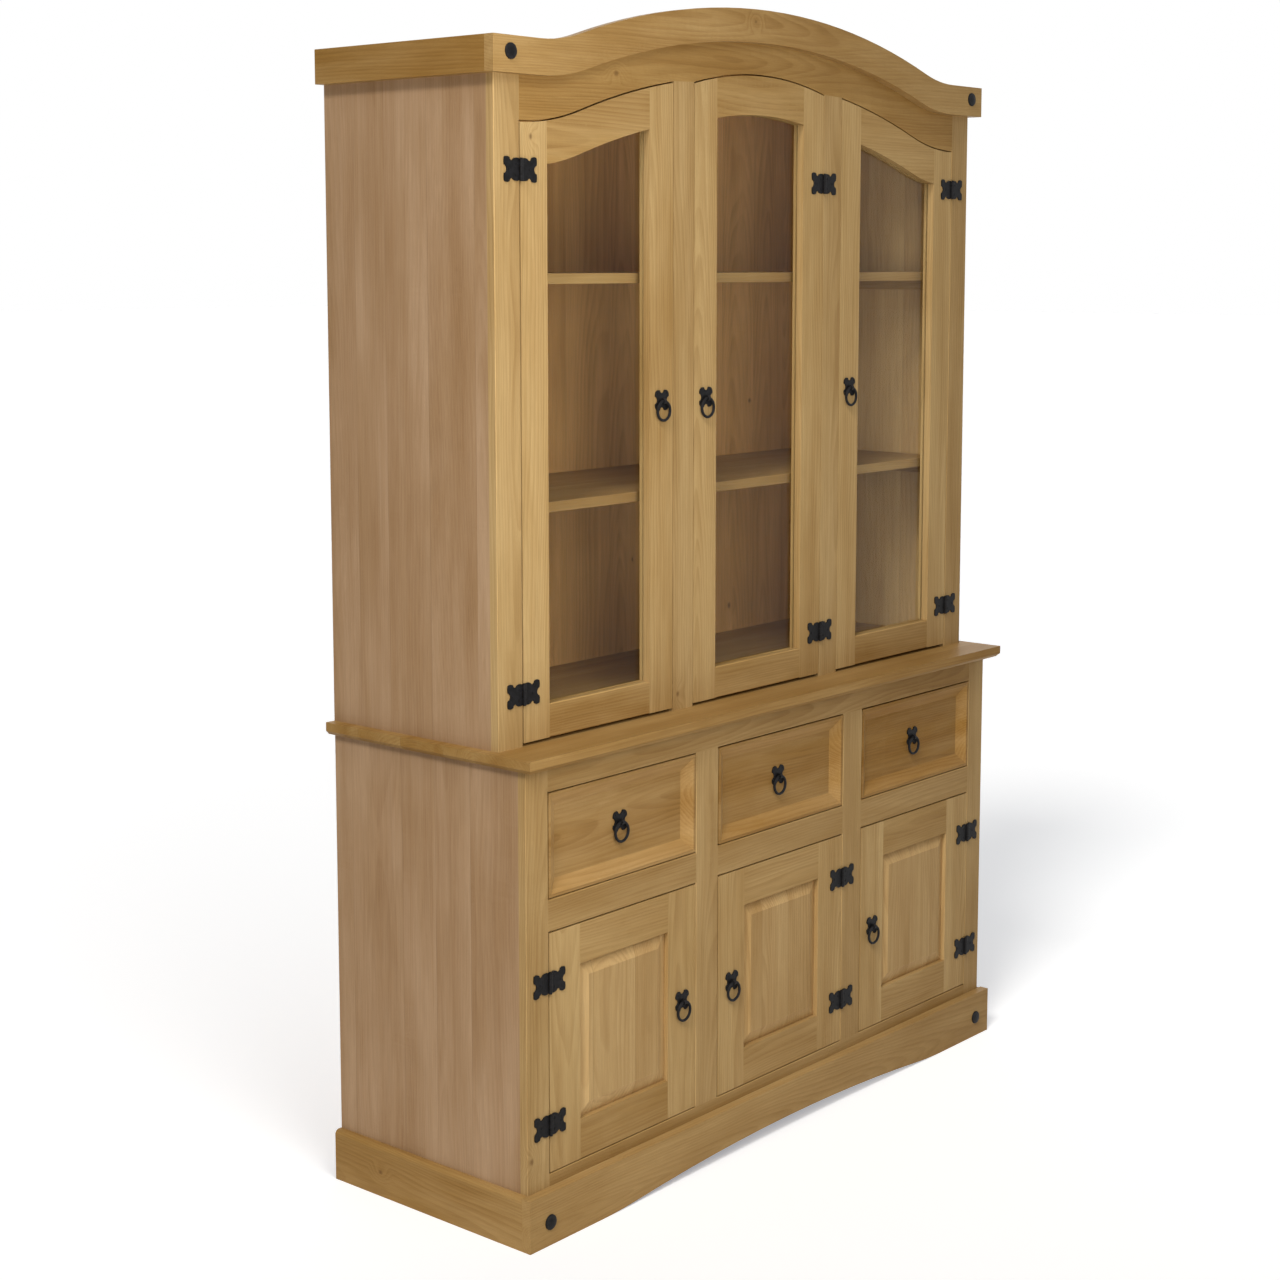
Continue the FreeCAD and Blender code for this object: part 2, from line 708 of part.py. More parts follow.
for bay, centre in BAYS.items():
    name = f"{bay}_drawer"
    half = f"({OPENING} / 2 - drawer_gap)"
    low, high = f"({DECK} + drawer_gap)", f"({TOP_RAIL} - drawer_gap)"

    def inset(distance):
        """Rectangle of the drawer front drawn in all round by a distance."""
        return (
            (f"{centre} - {half} + {distance}", f"{centre} + {half} - ({distance})"),
            (f"{low} + {distance}", f"{high} - ({distance})"),
        )

    blank = board(f"{name}_blank", *(inset("0")[0], (BUFFET_FACE, drawer_rear), inset("0")[1]))
    recess_floor = f"({BUFFET_FACE} + drawer_recess)"
    recess = tapered(
        f"{name}_recess", (BUFFET_FACE, recess_floor), inset("drawer_rim"), inset("drawer_rim + drawer_bevel"))
    node(f"{name}_front", cut(f"{name}_front", blank, recess))

    box_half = f"({OPENING} / 2 - drawer_side_clearance)"
    box_inner = f"({box_half} - drawer_side_thickness)"
    side_height = (drawer_floor, f"{drawer_floor} + drawer_side_height")
    groove_half = f"({box_inner} + drawer_groove_depth)"
    groove = board(
        f"{name}_groove",
        (f"{centre} - {groove_half}", f"{centre} + {groove_half}"),
        (drawer_rear, drawer_end),
        (f"{bottom_level} - drawer_groove_clearance",
         f"{bottom_level} + drawer_bottom_thickness + drawer_groove_clearance"),
    )
    sides = [
        cut(f"{name}_side", board(f"{name}_side_blank", limits, (drawer_rear, drawer_end), side_height), groove)
        for limits in (
            (f"{centre} - {box_half}", f"{centre} - {box_inner}"),
            (f"{centre} + {box_inner}", f"{centre} + {box_half}"),
        )
    ]
    bottom_half = f"({groove_half} - drawer_groove_clearance)"
    bottom = board(
        f"{name}_bottom",
        (f"{centre} - {bottom_half}", f"{centre} + {bottom_half}"),
        (drawer_rear, drawer_end),
        (bottom_level, f"{bottom_level} + drawer_bottom_thickness"),
    )
    back = board(
        f"{name}_back",
        (f"{centre} - {box_inner}", f"{centre} + {box_inner}"),
        (f"{drawer_end} - drawer_side_thickness", drawer_end),
        (f"{bottom_level} + drawer_bottom_thickness", side_height[1]),
    )
    node(f"{name}_box", *sides, bottom, back)

    middle = f"({DECK} + drawer_opening / 2 + drawer_pull_lift)"
    node(f"{name}_pull", copy_of(pull, f"{name}_pull_copy", centre, recess_floor, middle))
    ring(f"{name}_ring", centre, recess_floor, middle)

# Doors: each hangs on two hinges at one end of its opening and has its pull on the other stile

frame_leaves = []
hinge_pins = []


def ironwork(name, face, joint, door_on_right, levels, pull_x, pull_z):
    """Hinges along a joint line and a ring pull for one door."""
    irons = []
    for level in levels:
        turned = not door_on_right
        irons.append(copy_of(door_leaf, f"{name}_leaf", joint, face, level, turned))
        frame_leaves.append(copy_of(frame_leaf, f"{name}_frame_leaf", joint, face, level, turned))
        hinge_pins.append(copy_of(hinge_pin, f"{name}_pin", joint, face, level))
    irons.append(copy_of(pull, f"{name}_pull_copy", pull_x, face, pull_z))
    node(f"{name}_ironwork", *irons)
    ring(f"{name}_ring", pull_x, face, pull_z)


for bay, centre in BAYS.items():
    name = f"{bay}_lower_door"
    half = f"({OPENING} / 2 - door_gap)"
    sight = f"({half} - door_stile)"
    low, high = "(sill_height + door_gap)", f"({RAIL} - door_gap)"
    depth = (BUFFET_FACE, f"{BUFFET_FACE} + door_thickness")
    tongue_front = f"({BUFFET_FACE} + panel_set_in + panel_bevel_depth)"

    def opening(grow):
        """Rectangle that shows inside the door's frame, grown all round."""
        return (
            (f"{centre} - {sight} - ({grow})", f"{centre} + {sight} + ({grow})"),
            (f"{low} + door_rail - ({grow})", f"{high} - door_rail + ({grow})"),
        )

    groove_x, groove_z = opening("panel_tongue_depth")
    groove_y = (f"{tongue_front} - panel_clearance", f"{tongue_front} + panel_tongue + panel_clearance")
    groove = board(f"{name}_groove", groove_x, groove_y, groove_z)
    blanks = [
        board(f"{name}_stile", (f"{centre} - {half}", f"{centre} - {sight}"), depth, (low, high)),
        board(f"{name}_stile", (f"{centre} + {sight}", f"{centre} + {half}"), depth, (low, high)),
        board(f"{name}_rail", opening("0")[0], depth, (low, f"{low} + door_rail")),
        board(f"{name}_rail", opening("0")[0], depth, (f"{high} - door_rail", high)),
    ]
    node(f"{name}_frame", *[cut(f"{name}_member", blank, groove) for blank in blanks])

    slab_x, slab_z = opening("panel_tongue_depth - panel_clearance")
    slab = board(f"{name}_slab", slab_x, (tongue_front, f"{tongue_front} + panel_tongue"), slab_z)
    field = tapered(
        f"{name}_field", (f"{BUFFET_FACE} + panel_set_in", tongue_front),
        opening("-panel_sight_gap - panel_bevel"), opening("-panel_sight_gap"))
    node(f"{name}_panel", fuse(f"{name}_panel", slab, field))

    hinged_left = bay == "left"
    toward_hinge = "-1" if hinged_left else "1"
    joint = f"{centre} + {toward_hinge} * ({OPENING} / 2 - door_gap / 2)"
    pull_x = f"{centre} - {toward_hinge} * ({half} - door_stile / 2)"
    levels = ("sill_height + door_hinge_inset", f"{RAIL} - door_hinge_inset")
    ironwork(name, BUFFET_FACE, joint, hinged_left, levels, pull_x, "(sill_height + door_pull_height)")

# Glazed doors: the top rail and the pane follow the frieze

sash_foot = f"({TOP} + sash_lift)"
sash_depth = (HUTCH_FACE, f"{HUTCH_FACE} + sash_thickness")
pane_front = f"({HUTCH_FACE} + glass_set_in)"
sash_drop = "sash_top_gap"
pane_drop = "(sash_top_gap + sash_top_rail)"

sash_a = f"({SASH_MID_OUT} + door_gap)"
sash_b = f"({sash_a} + sash_stile)"
sash_d = f"({SASH_OUTER} - door_gap)"
sash_c = f"({sash_d} - sash_stile)"
mid_b = f"({SASH_MID_IN} - door_gap)"
mid_a = f"({mid_b} - sash_stile)"


def outer_pane(lap):
    """Outline of the glass in the right-hand door, reaching past the sight edge by a lap."""
    left, right = f"({sash_b} - ({lap}))", f"({sash_c} + ({lap}))"
    drop = f"({pane_drop} - ({lap}))"
    return [
        (left, f"{sash_foot} + sash_bottom_rail - ({lap})"),
        (right, f"{sash_foot} + sash_bottom_rail - ({lap})"),
        (right, f"{easing_height(right)} - {drop}", "frieze_ease", "in"),
        (TURN_X, f"{TURN_Z} - {drop}", DOME, "out"),
        (left, f"{dome_height(left)} - {drop}"),
    ]


def middle_pane(lap):
    """Outline of the glass in the middle door, reaching past the sight edge by a lap."""
    edge = f"({mid_a} + ({lap}))"
    top = f"{arch_height(edge)} - ({pane_drop} - ({lap}))"
    return [
        (f"-{edge}", f"{sash_foot} + sash_bottom_rail - ({lap})"),
        (edge, f"{sash_foot} + sash_bottom_rail - ({lap})"),
        (edge, top, ARCH, "out"),
        (f"-{edge}", top),
    ]


outer_members = {
    "latch_stile": [
        (sash_a, sash_foot),
        (sash_b, sash_foot),
        (sash_b, f"{dome_height(sash_b)} - {sash_drop}", DOME, "out"),
        (sash_a, f"{dome_height(sash_a)} - {sash_drop}"),
    ],
    "hinge_stile": [
        (sash_c, sash_foot),
        (sash_d, sash_foot),
        (sash_d, f"{easing_height(sash_d)} - {sash_drop}", "frieze_ease", "in"),
        (sash_c, f"{easing_height(sash_c)} - {sash_drop}"),
    ],
    "bottom_rail": [
        (sash_b, sash_foot),
        (sash_c, sash_foot),
        (sash_c, f"{sash_foot} + sash_bottom_rail"),
        (sash_b, f"{sash_foot} + sash_bottom_rail"),
    ],
    "top_rail": [
        (sash_b, f"{dome_height(sash_b)} - {pane_drop}", DOME, "in"),
        (TURN_X, f"{TURN_Z} - {pane_drop}", "frieze_ease", "out"),
        (sash_c, f"{easing_height(sash_c)} - {pane_drop}"),
        (sash_c, f"{easing_height(sash_c)} - {sash_drop}", "frieze_ease", "in"),
        (TURN_X, f"{TURN_Z} - {sash_drop}", DOME, "out"),
        (sash_b, f"{dome_height(sash_b)} - {sash_drop}"),
    ],
}
middle_stile = [
    (mid_a, sash_foot),
    (mid_b, sash_foot),
    (mid_b, f"{arch_height(mid_b)} - {sash_drop}", ARCH, "out"),
    (mid_a, f"{arch_height(mid_a)} - {sash_drop}"),
]
middle_members = {
    "latch_stile": mirrored(middle_stile),
    "hinge_stile": middle_stile,
    "bottom_rail": [
        (f"-{mid_a}", sash_foot),
        (mid_a, sash_foot),
        (mid_a, f"{sash_foot} + sash_bottom_rail"),
        (f"-{mid_a}", f"{sash_foot} + sash_bottom_rail"),
    ],
    "top_rail": [
        (f"-{mid_a}", f"{arch_height(mid_a)} - {pane_drop}", ARCH, "in"),
        (mid_a, f"{arch_height(mid_a)} - {pane_drop}"),
        (mid_a, f"{arch_height(mid_a)} - {sash_drop}", ARCH, "out"),
        (f"-{mid_a}", f"{arch_height(mid_a)} - {sash_drop}"),
    ],
}
SASHES = {
    "left": ({member: mirrored(outline) for member, outline in outer_members.items()},
             lambda lap: mirrored(outer_pane(lap))),
    "middle": (middle_members, middle_pane),
    "right": (outer_members, outer_pane),
}

for bay, (members, pane_outline) in SASHES.items():
    name = f"{bay}_glazed_door"
    centre = SASH_BAYS[bay]
    groove = sawn(
        f"{name}_groove", pane_outline("glass_lap"),
        f"{pane_front} - glass_clearance", "glass_thickness + 2 * glass_clearance")
    node(f"{name}_frame", *[
        cut(f"{name}_{member}", sawn(f"{name}_{member}_blank", outline, HUTCH_FACE, "sash_thickness"), groove)
        for member, outline in members.items()
    ])
    node(f"{name}_pane", sawn(
        f"{name}_pane", pane_outline("glass_lap - glass_clearance"), pane_front, "glass_thickness"))

    hinged_left = bay == "left"
    toward_hinge = "-1" if hinged_left else "1"
    joint = f"{centre} + {toward_hinge} * ({SASH_OPENING} / 2 - door_gap / 2)"
    pull_x = f"{centre} - {toward_hinge} * ({SASH_OPENING} / 2 - door_gap - sash_stile / 2)"
    levels = (f"{TOP} + sash_hinge_low", f"{FRIEZE_END} - sash_hinge_high")
    ironwork(name, HUTCH_FACE, joint, hinged_left, levels, pull_x, f"({TOP} + sash_pull_height)")

node("hinge_frame_leaves", *frame_leaves)
node("hinge_pins", *hinge_pins)

# Domed studs on the ends of the cornice and of the plinth: a rim, a rolled shoulder and a crown

shoulder_x = "(stud_radius - stud_shoulder)"
dome_rise = "(stud_height - stud_rim)"
crown_radius = f"(({shoulder_x}^2 + {dome_rise}^2 - stud_shoulder^2) / (2 * ({dome_rise} - stud_shoulder)))"
roll = f"({crown_radius} / ({crown_radius} - stud_shoulder))"
stud = doc.addObject("PartDesign::Body", "stud")
stud_sketch = sketch_on(stud, "XY_Plane", "stud_section")
draw(stud_sketch, [
    ("0", "-stud_height", crown_radius, "out"),
    (f"{shoulder_x} * {roll}", f"{crown_radius} - stud_height - ({crown_radius} - {dome_rise}) * {roll}",
     "stud_shoulder", "out"),
    ("stud_radius", "-stud_rim"),
    ("stud_radius", "0"),
    ("0", "0"),
])
stud_turn = stud.newObject("PartDesign::Revolution", "stud_turn")
stud_turn.Profile = stud_sketch
stud_turn.ReferenceAxis = (stud_sketch, ["V_Axis"])
stud_turn.Angle = 360
studs = []
for sign in ("-1", "1"):
    cornice_x = f"{sign} * ({cornice_half} - cornice_stud_inset)"
    cornice_z = f"{END} - cornice_stud_drop"
    studs.append(copy_of(stud, "cornice_stud", cornice_x, f"{HUTCH_FACE} - cornice_thickness", cornice_z))
    plinth_stud_x = f"{sign} * ({plinth_half} - plinth_stud_inset)"
    plinth_y = f"{BUFFET_FACE} - plinth_front_thickness"
    studs.append(copy_of(stud, "plinth_stud", plinth_stud_x, plinth_y, "plinth_stud_height"))
node("studs", *studs)

# Recompute, test and write

doc.recompute()
failed = [thing.Label for thing in doc.Objects if {"Invalid", "Error"} & set(thing.State)]
if failed:
    raise RuntimeError(f"objects not computed: {failed}")
for name, thing in NODES.items():
    shape = thing.Shape
    if shape.isNull() or not shape.isValid() or not shape.Solids or shape.Volume <= 0:
        raise RuntimeError(f"{name} has no valid solid")
for name, thing in NODES.items():
    thing.Shape.exportStep(f"parts/{name}.step")
    print(f"{name}: {len(thing.Shape.Solids)} solids, {thing.Shape.Volume / 1000:.1f} cm3")
print(f"{len(NODES)} sub-parts")
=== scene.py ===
import json
import math
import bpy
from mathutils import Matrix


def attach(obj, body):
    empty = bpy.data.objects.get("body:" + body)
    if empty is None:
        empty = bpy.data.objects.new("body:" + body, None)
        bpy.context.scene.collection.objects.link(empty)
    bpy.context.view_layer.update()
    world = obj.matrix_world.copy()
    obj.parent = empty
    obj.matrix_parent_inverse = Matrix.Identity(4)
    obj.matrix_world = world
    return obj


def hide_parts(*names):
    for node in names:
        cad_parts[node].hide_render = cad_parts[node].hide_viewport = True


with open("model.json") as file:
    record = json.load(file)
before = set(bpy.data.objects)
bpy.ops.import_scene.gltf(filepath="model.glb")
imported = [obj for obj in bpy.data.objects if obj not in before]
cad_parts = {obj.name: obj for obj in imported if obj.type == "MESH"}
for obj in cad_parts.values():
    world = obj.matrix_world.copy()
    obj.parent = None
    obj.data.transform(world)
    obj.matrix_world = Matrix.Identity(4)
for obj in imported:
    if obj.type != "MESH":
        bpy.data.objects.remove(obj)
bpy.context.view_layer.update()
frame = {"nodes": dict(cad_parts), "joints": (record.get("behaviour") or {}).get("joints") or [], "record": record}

import zlib

import bmesh
import bpy
import numpy as np
from bpy.props import FloatProperty, FloatVectorProperty, IntProperty, PointerProperty
from mathutils import Vector
from mathutils.bvhtree import BVHTree

bl_info = {
    "name": "Pine buffet and hutch",
    "version": (1, 0, 0),
    "blender": (4, 5, 0),
    "location": "3D View > Sidebar > Hutch",
    "description": "Dresses a buffet and hutch in waxed pine, black iron and glass, and sets it in a studio",
    "category": "Object",
}

RECORD = frame["record"]
SLOT_OF = {part["node"]: part["material_slot"] for part in RECORD["subparts"]}
BODY_OF = {node: body for body, nodes in RECORD["behaviour"]["bodies"].items() for node in nodes}
HINGE_LINES = [joint["pos_m"][0] for joint in frame["joints"] if joint["name"].endswith("_hinge")]

BAYS = ("left", "middle", "right")
SIDES = ("buffet_sides", "hutch_sides")
CARCASS = ("buffet_bottom", "buffet_back", "buffet_shelf", "drawer_deck", "drawer_guides", "hutch_bottom", "hutch_top",
           "hutch_back", "hutch_shelves", "shelf_cleats")
FACE_FRAMES = ("buffet_stiles", "buffet_rails", "hutch_stiles", "frieze")
TRIM = ("plinth_front", "plinth_sides", "worktop", "cornice_front", "cornice_sides")
# Nodes whose boards are glued up from several strips, and nodes whose grain doesn't run along their longest side
GLUED_UP = {*SIDES, "worktop", "buffet_shelf", "hutch_shelves", "buffet_back", "hutch_back", "buffet_bottom",
            "hutch_bottom", "hutch_top", "drawer_deck", *(f"{bay}_lower_door_panel" for bay in BAYS)}
GRAIN_AXIS = {"buffet_back": 2, "hutch_back": 2}
# Nodes with a finish of their own within their material slot
OWN_FINISH = {
    **dict.fromkeys(("hutch_shelves", "buffet_shelf", "shelf_cleats", "hutch_bottom"), "pine_shelf"),
    **dict.fromkeys((f"{bay}_drawer_box" for bay in BAYS), "pine_raw"),
}

# Tints: the mean of all boards, the spread between boards, and boards sawn from deeper coloured wood than the rest
BOARD_TINT = 0.5
BOARD_SPREAD = 0.3
DEEPER = {"cornice_sides": 1.35, "cornice_front": 0.35, "plinth_sides": 0.5, "plinth_front": -0.2, "worktop": 0.75,
          "left_drawer_front": 0.7, "middle_drawer_front": 1.3, "right_drawer_front": 0.95}

# Rounding, as shares of the usual radius, and how far sloping faces are lightened against rounded edges, partly as
# rubbed wear and partly as painted highlight
INSIDE_EASE = 0.6
TRIM_EASE = 1.4
PANE_EDGE = 0.0003
# Sloping faces of panels and iron get part of the painted highlight and rubbed wear of rounded edges
SLOPE_WEAR_AND_HIGHLIGHT = {"pine_panel": 0.5, "iron": 0.3}
FLAT_ANGLE = math.radians(0.3)    # triangles that meet at less are one flat face
PINE_CURVE = math.radians(10)     # faces that meet at less are one curved face
IRON_CURVE = math.radians(28)
ROUND_REACH = math.radians(50)    # rounded edges pass smoothly into flat faces within this angle
SLOPE = 0.98                      # a face slopes where no part of its normal is greater
JOINT_CLEAR = 3                   # cuts at glued joints keep this many radii from a board's ends

# Strips of glued-up boards: how their widths sway, and where each was cut from its log, in metres
LONE_BOARD = 10.0                 # strip width of a board that is one piece
WIDEST_STRIP = 1.0
STRIP_SWAY, SWAY_PITCH = 0.16, 2.3
PITH_ACROSS = 0.17
PITH_LEAN = 0.09
PITH_NEAREST, PITH_DEPTHS = 0.035, 0.05
LOG_LENGTH = 23.0
SEAM_WIDTH = 0.0008

# Figure of the pine: knots, the rings that bend round them, and noises along, across and through the grain
KNOT_CELLS = (2.4, 9.0, 0.0)      # per metre, of which few hold a knot
KNOT_LUCK = 0.9
KNOT_NARROWING = 1.35
KNOT_LEAST, KNOT_SPREAD = 0.005, 0.005
KNOT_CORE = 0.15
SWIRL, SWIRL_REACH = 0.012, 0.032
WANDER = (1.7, 8.0, 8.0)
WANDER_ACROSS, WANDER_DEPTH = 0.03, 0.04
YEARS_PITCH, YEARS_SWAY = 60.0, 2.2
RING_DARKENS, RING_ENDS = (0.2, 0.88), (0.92, 1.0)    # shares of a year
FAINT_RING = 0.35
STREAKS = (0.8, 30.0, 30.0)
CLOUDS = (2.6, 11.0, 11.0)
FIBRES = (16.0, 620.0, 620.0)
NOISE_MIDDLE = (0.28, 0.72)       # between these lies most of a noise
GRAIN_HEIGHT = 0.0005

# How strongly parts of the figure change the colour of the wax, and its roughness and height
STREAK_SHADE, STRIP_SHADE, CLOUD_SHADE = 0.7, 0.5, 0.75
# Of the three below, the last lightens rounded edges and sloping faces, partly as rubbed wear and partly as painted
# highlight
SEAM_SHADE, KNOT_SHADE, WEAR_HIGHLIGHT_SHADE = 0.16, 0.7, 0.55
FIBRE_LIGHT, FIBRE_DARK = 1.05, 0.93
STREAK_ROUGH, RING_ROUGH = 0.22, 0.07
RING_RISE, FIBRE_RISE, SEAM_DROP = 0.45, 0.55, 0.8
# Colours that waxed pine is multiplied by, and the colour of a knot
EARLYWOOD = (1.1, 1.1, 1.12)
LATEWOOD = (0.62, 0.5, 0.36)
STREAKED = (0.78, 0.71, 0.62)
DEEP = Vector((0.76, 0.68, 0.54))
LIGHT = Vector((1.08, 1.1, 1.14))
DEEPEST = (0.3, 0.2, 0.1)
# Lightening of rounded edges and sloping faces: partly rubbed wax, partly painted highlight
RUBBED_AND_HIGHLIT = (1.55, 1.56, 1.62)
KNOT = (0.13, 0.06, 0.022, 1)

# Hammered iron: sizes of its noises per metre, and what they change
DENTS, GRIT, BLOTCHES = 260.0, 1500.0, 120.0
DENT_HEIGHT = 0.0006
GRIT_RISE = 0.25
BLOTCH_LIGHT = (2.0, 2.0, 2.2)
BLOTCH_ROUGH = 0.35
# Marks of a cloth on the panes, per metre
WIPED = (22.0, 22.0, 5.0)

# Screws and nails: out from the hinge line or the plate's middle, and up from the middle
LEAF_WIDTHS = (0.0275, 0.0415)    # a hinge leaf is between these
LEAF_GAP = 0.008                  # and this near to its hinge line
LEAF_THICKNESS = 0.002
PLATE_THICKNESS = 0.0025
SCREW_SPOTS = ((0.0105, -0.0085), (0.0105, 0.0085), (0.0245, 0.0))
NAIL_SPOTS = ((-0.0112, 0.0112), (0.0112, 0.0112))
SCREW_DOME, SCREW_SLOT = 0.34, 0.0006
NAIL_DOME, NAIL_SLOT = 0.45, 0.0003


# Settings

class PineSettings(bpy.types.PropertyGroup):
    """Colours and sizes of the waxed pine."""

    frame_colour: FloatVectorProperty(
        name="Face frames", description="Mean colour of the stiles and rails of both halves", subtype="COLOR",
        min=0, max=1, default=(0.43, 0.29, 0.126))
    door_colour: FloatVectorProperty(
        name="Door frames", description="Mean colour of the stiles and rails of the doors", subtype="COLOR",
        min=0, max=1, default=(0.47, 0.32, 0.139))
    panel_colour: FloatVectorProperty(
        name="Panels and drawers", description="Mean colour of the door panels and drawer fronts", subtype="COLOR",
        min=0, max=1, default=(0.465, 0.312, 0.138))
    side_colour: FloatVectorProperty(
        name="Sides", description="Mean colour of the outer faces of the sides", subtype="COLOR",
        min=0, max=1, default=(0.395, 0.26, 0.15))
    # Painted light: the faces of the sides that look inwards are a lighter, yellower copy of the side wood, standing
    # in for light that falls into the bays
    lining_colour: FloatVectorProperty(
        name="Inner faces of the sides", description="Mean colour of the faces of the sides that look inwards",
        subtype="COLOR", min=0, max=1, default=(0.515, 0.348, 0.152))
    # The frieze is deeper than the trim: partly its own more orange tone, partly painted shade of the cornice above it
    frieze_colour: FloatVectorProperty(
        name="Frieze", description="Mean colour of the board over the glazed doors", subtype="COLOR",
        min=0, max=1, default=(0.39, 0.242, 0.085))
    trim_colour: FloatVectorProperty(
        name="Trim", description="Mean colour of the plinth, the worktop and the cornice", subtype="COLOR",
        min=0, max=1, default=(0.43, 0.285, 0.118))
    inside_colour: FloatVectorProperty(
        name="Inside", description="Mean colour of the backs, the deck and the guides", subtype="COLOR",
        min=0, max=1, default=(0.76, 0.45, 0.165))
    raw_colour: FloatVectorProperty(
        name="Drawer boxes", description="Mean colour of the bare pine of the drawer boxes", subtype="COLOR",
        min=0, max=1, default=(0.56, 0.41, 0.23))
    shelf_colour: FloatVectorProperty(
        name="Shelves", description="Mean colour of the shelves, their cleats and the floor of the hutch",
        subtype="COLOR", min=0, max=1, default=(0.37, 0.23, 0.083))
    rail_depth: FloatProperty(
        name="Rail depth", description="How much deeper boards with level grain are than upright ones",
        subtype="FACTOR", min=0, max=1, default=0.34)
    latewood: FloatProperty(
        name="Latewood", description="How much darker a growth ring is than the wood beside it",
        subtype="FACTOR", min=0, max=1, default=0.4)
    side_calm: FloatProperty(
        name="Calm of the sides", description="Share of the rings and of the strips' tints that the sides show",
        subtype="FACTOR", min=0, max=1, default=0.5)
    ring_spacing: FloatProperty(
        name="Ring spacing", description="Distance from one growth ring to the next", unit="LENGTH",
        min=0.001, max=0.02, default=0.0042)
    strip_width: FloatProperty(
        name="Strip width", description="Width of the strips that wide boards are glued up from", unit="LENGTH",
        min=0.02, max=0.3, default=0.088)
    eased_edge: FloatProperty(
        name="Eased edge", description="Radius that free edges of the boards are rounded to", unit="LENGTH",
        min=0, max=0.01, default=0.002)
    roughness: FloatProperty(
        name="Wax roughness", description="Roughness of the waxed face", subtype="FACTOR", min=0, max=1, default=0.46)
    shine: FloatProperty(
        name="Wax shine", description="Strength of the mirrored light", subtype="FACTOR", min=0, max=1, default=0.06)


class IronSettings(bpy.types.PropertyGroup):
    """Finish of the black hinges, pulls and studs."""

    colour: FloatVectorProperty(
        name="Iron", description="Colour of the black finish", subtype="COLOR", min=0, max=1,
        default=(0.006, 0.0058, 0.006))
    # Lighter colour of rounded edges and sloping faces: partly rubbed finish, partly painted highlight
    worn_colour: FloatVectorProperty(
        name="Worn iron", description="Colour where the finish is rubbed at the edges", subtype="COLOR",
        min=0, max=1, default=(0.05, 0.049, 0.051))
    roughness: FloatProperty(
        name="Roughness", description="Roughness of the black finish", subtype="FACTOR", min=0, max=1, default=0.45)
    shine: FloatProperty(
        name="Shine", description="Strength of the mirrored light", subtype="FACTOR", min=0, max=1, default=0.1)
    eased_edge: FloatProperty(
        name="Eased edge", description="Radius that edges of the iron are rounded to", unit="LENGTH",
        min=0, max=0.002, default=0.0004)
    screw_radius: FloatProperty(
        name="Screw radius", description="Radius of a screw head in a hinge leaf", unit="LENGTH",
        min=0.0005, max=0.005, default=0.0021)
    nail_radius: FloatProperty(
        name="Nail radius", description="Radius of a nail head in a pull plate", unit="LENGTH",
        min=0.0005, max=0.005, default=0.0014)
    turn_seed: IntProperty(
        name="Turn seed", description="Number that the turns of the screw slots follow from", min=0, default=7)


class GlassSettings(bpy.types.PropertyGroup):
    """Finish of the panes."""

    tint: FloatVectorProperty(
        name="Tint", description="Colour of the light that passes a pane", subtype="COLOR", min=0, max=1,
        default=(0.97, 0.98, 0.975))
    smears: FloatProperty(
        name="Smears", description="Share of the tint that is left in the marks of a cloth", subtype="FACTOR",
        min=0, max=1, default=0.96)
    bending: FloatProperty(
        name="Index of refraction", description="Kept low, so that the white studio doesn't veil the shelves",
        min=1, max=2, default=1.13)


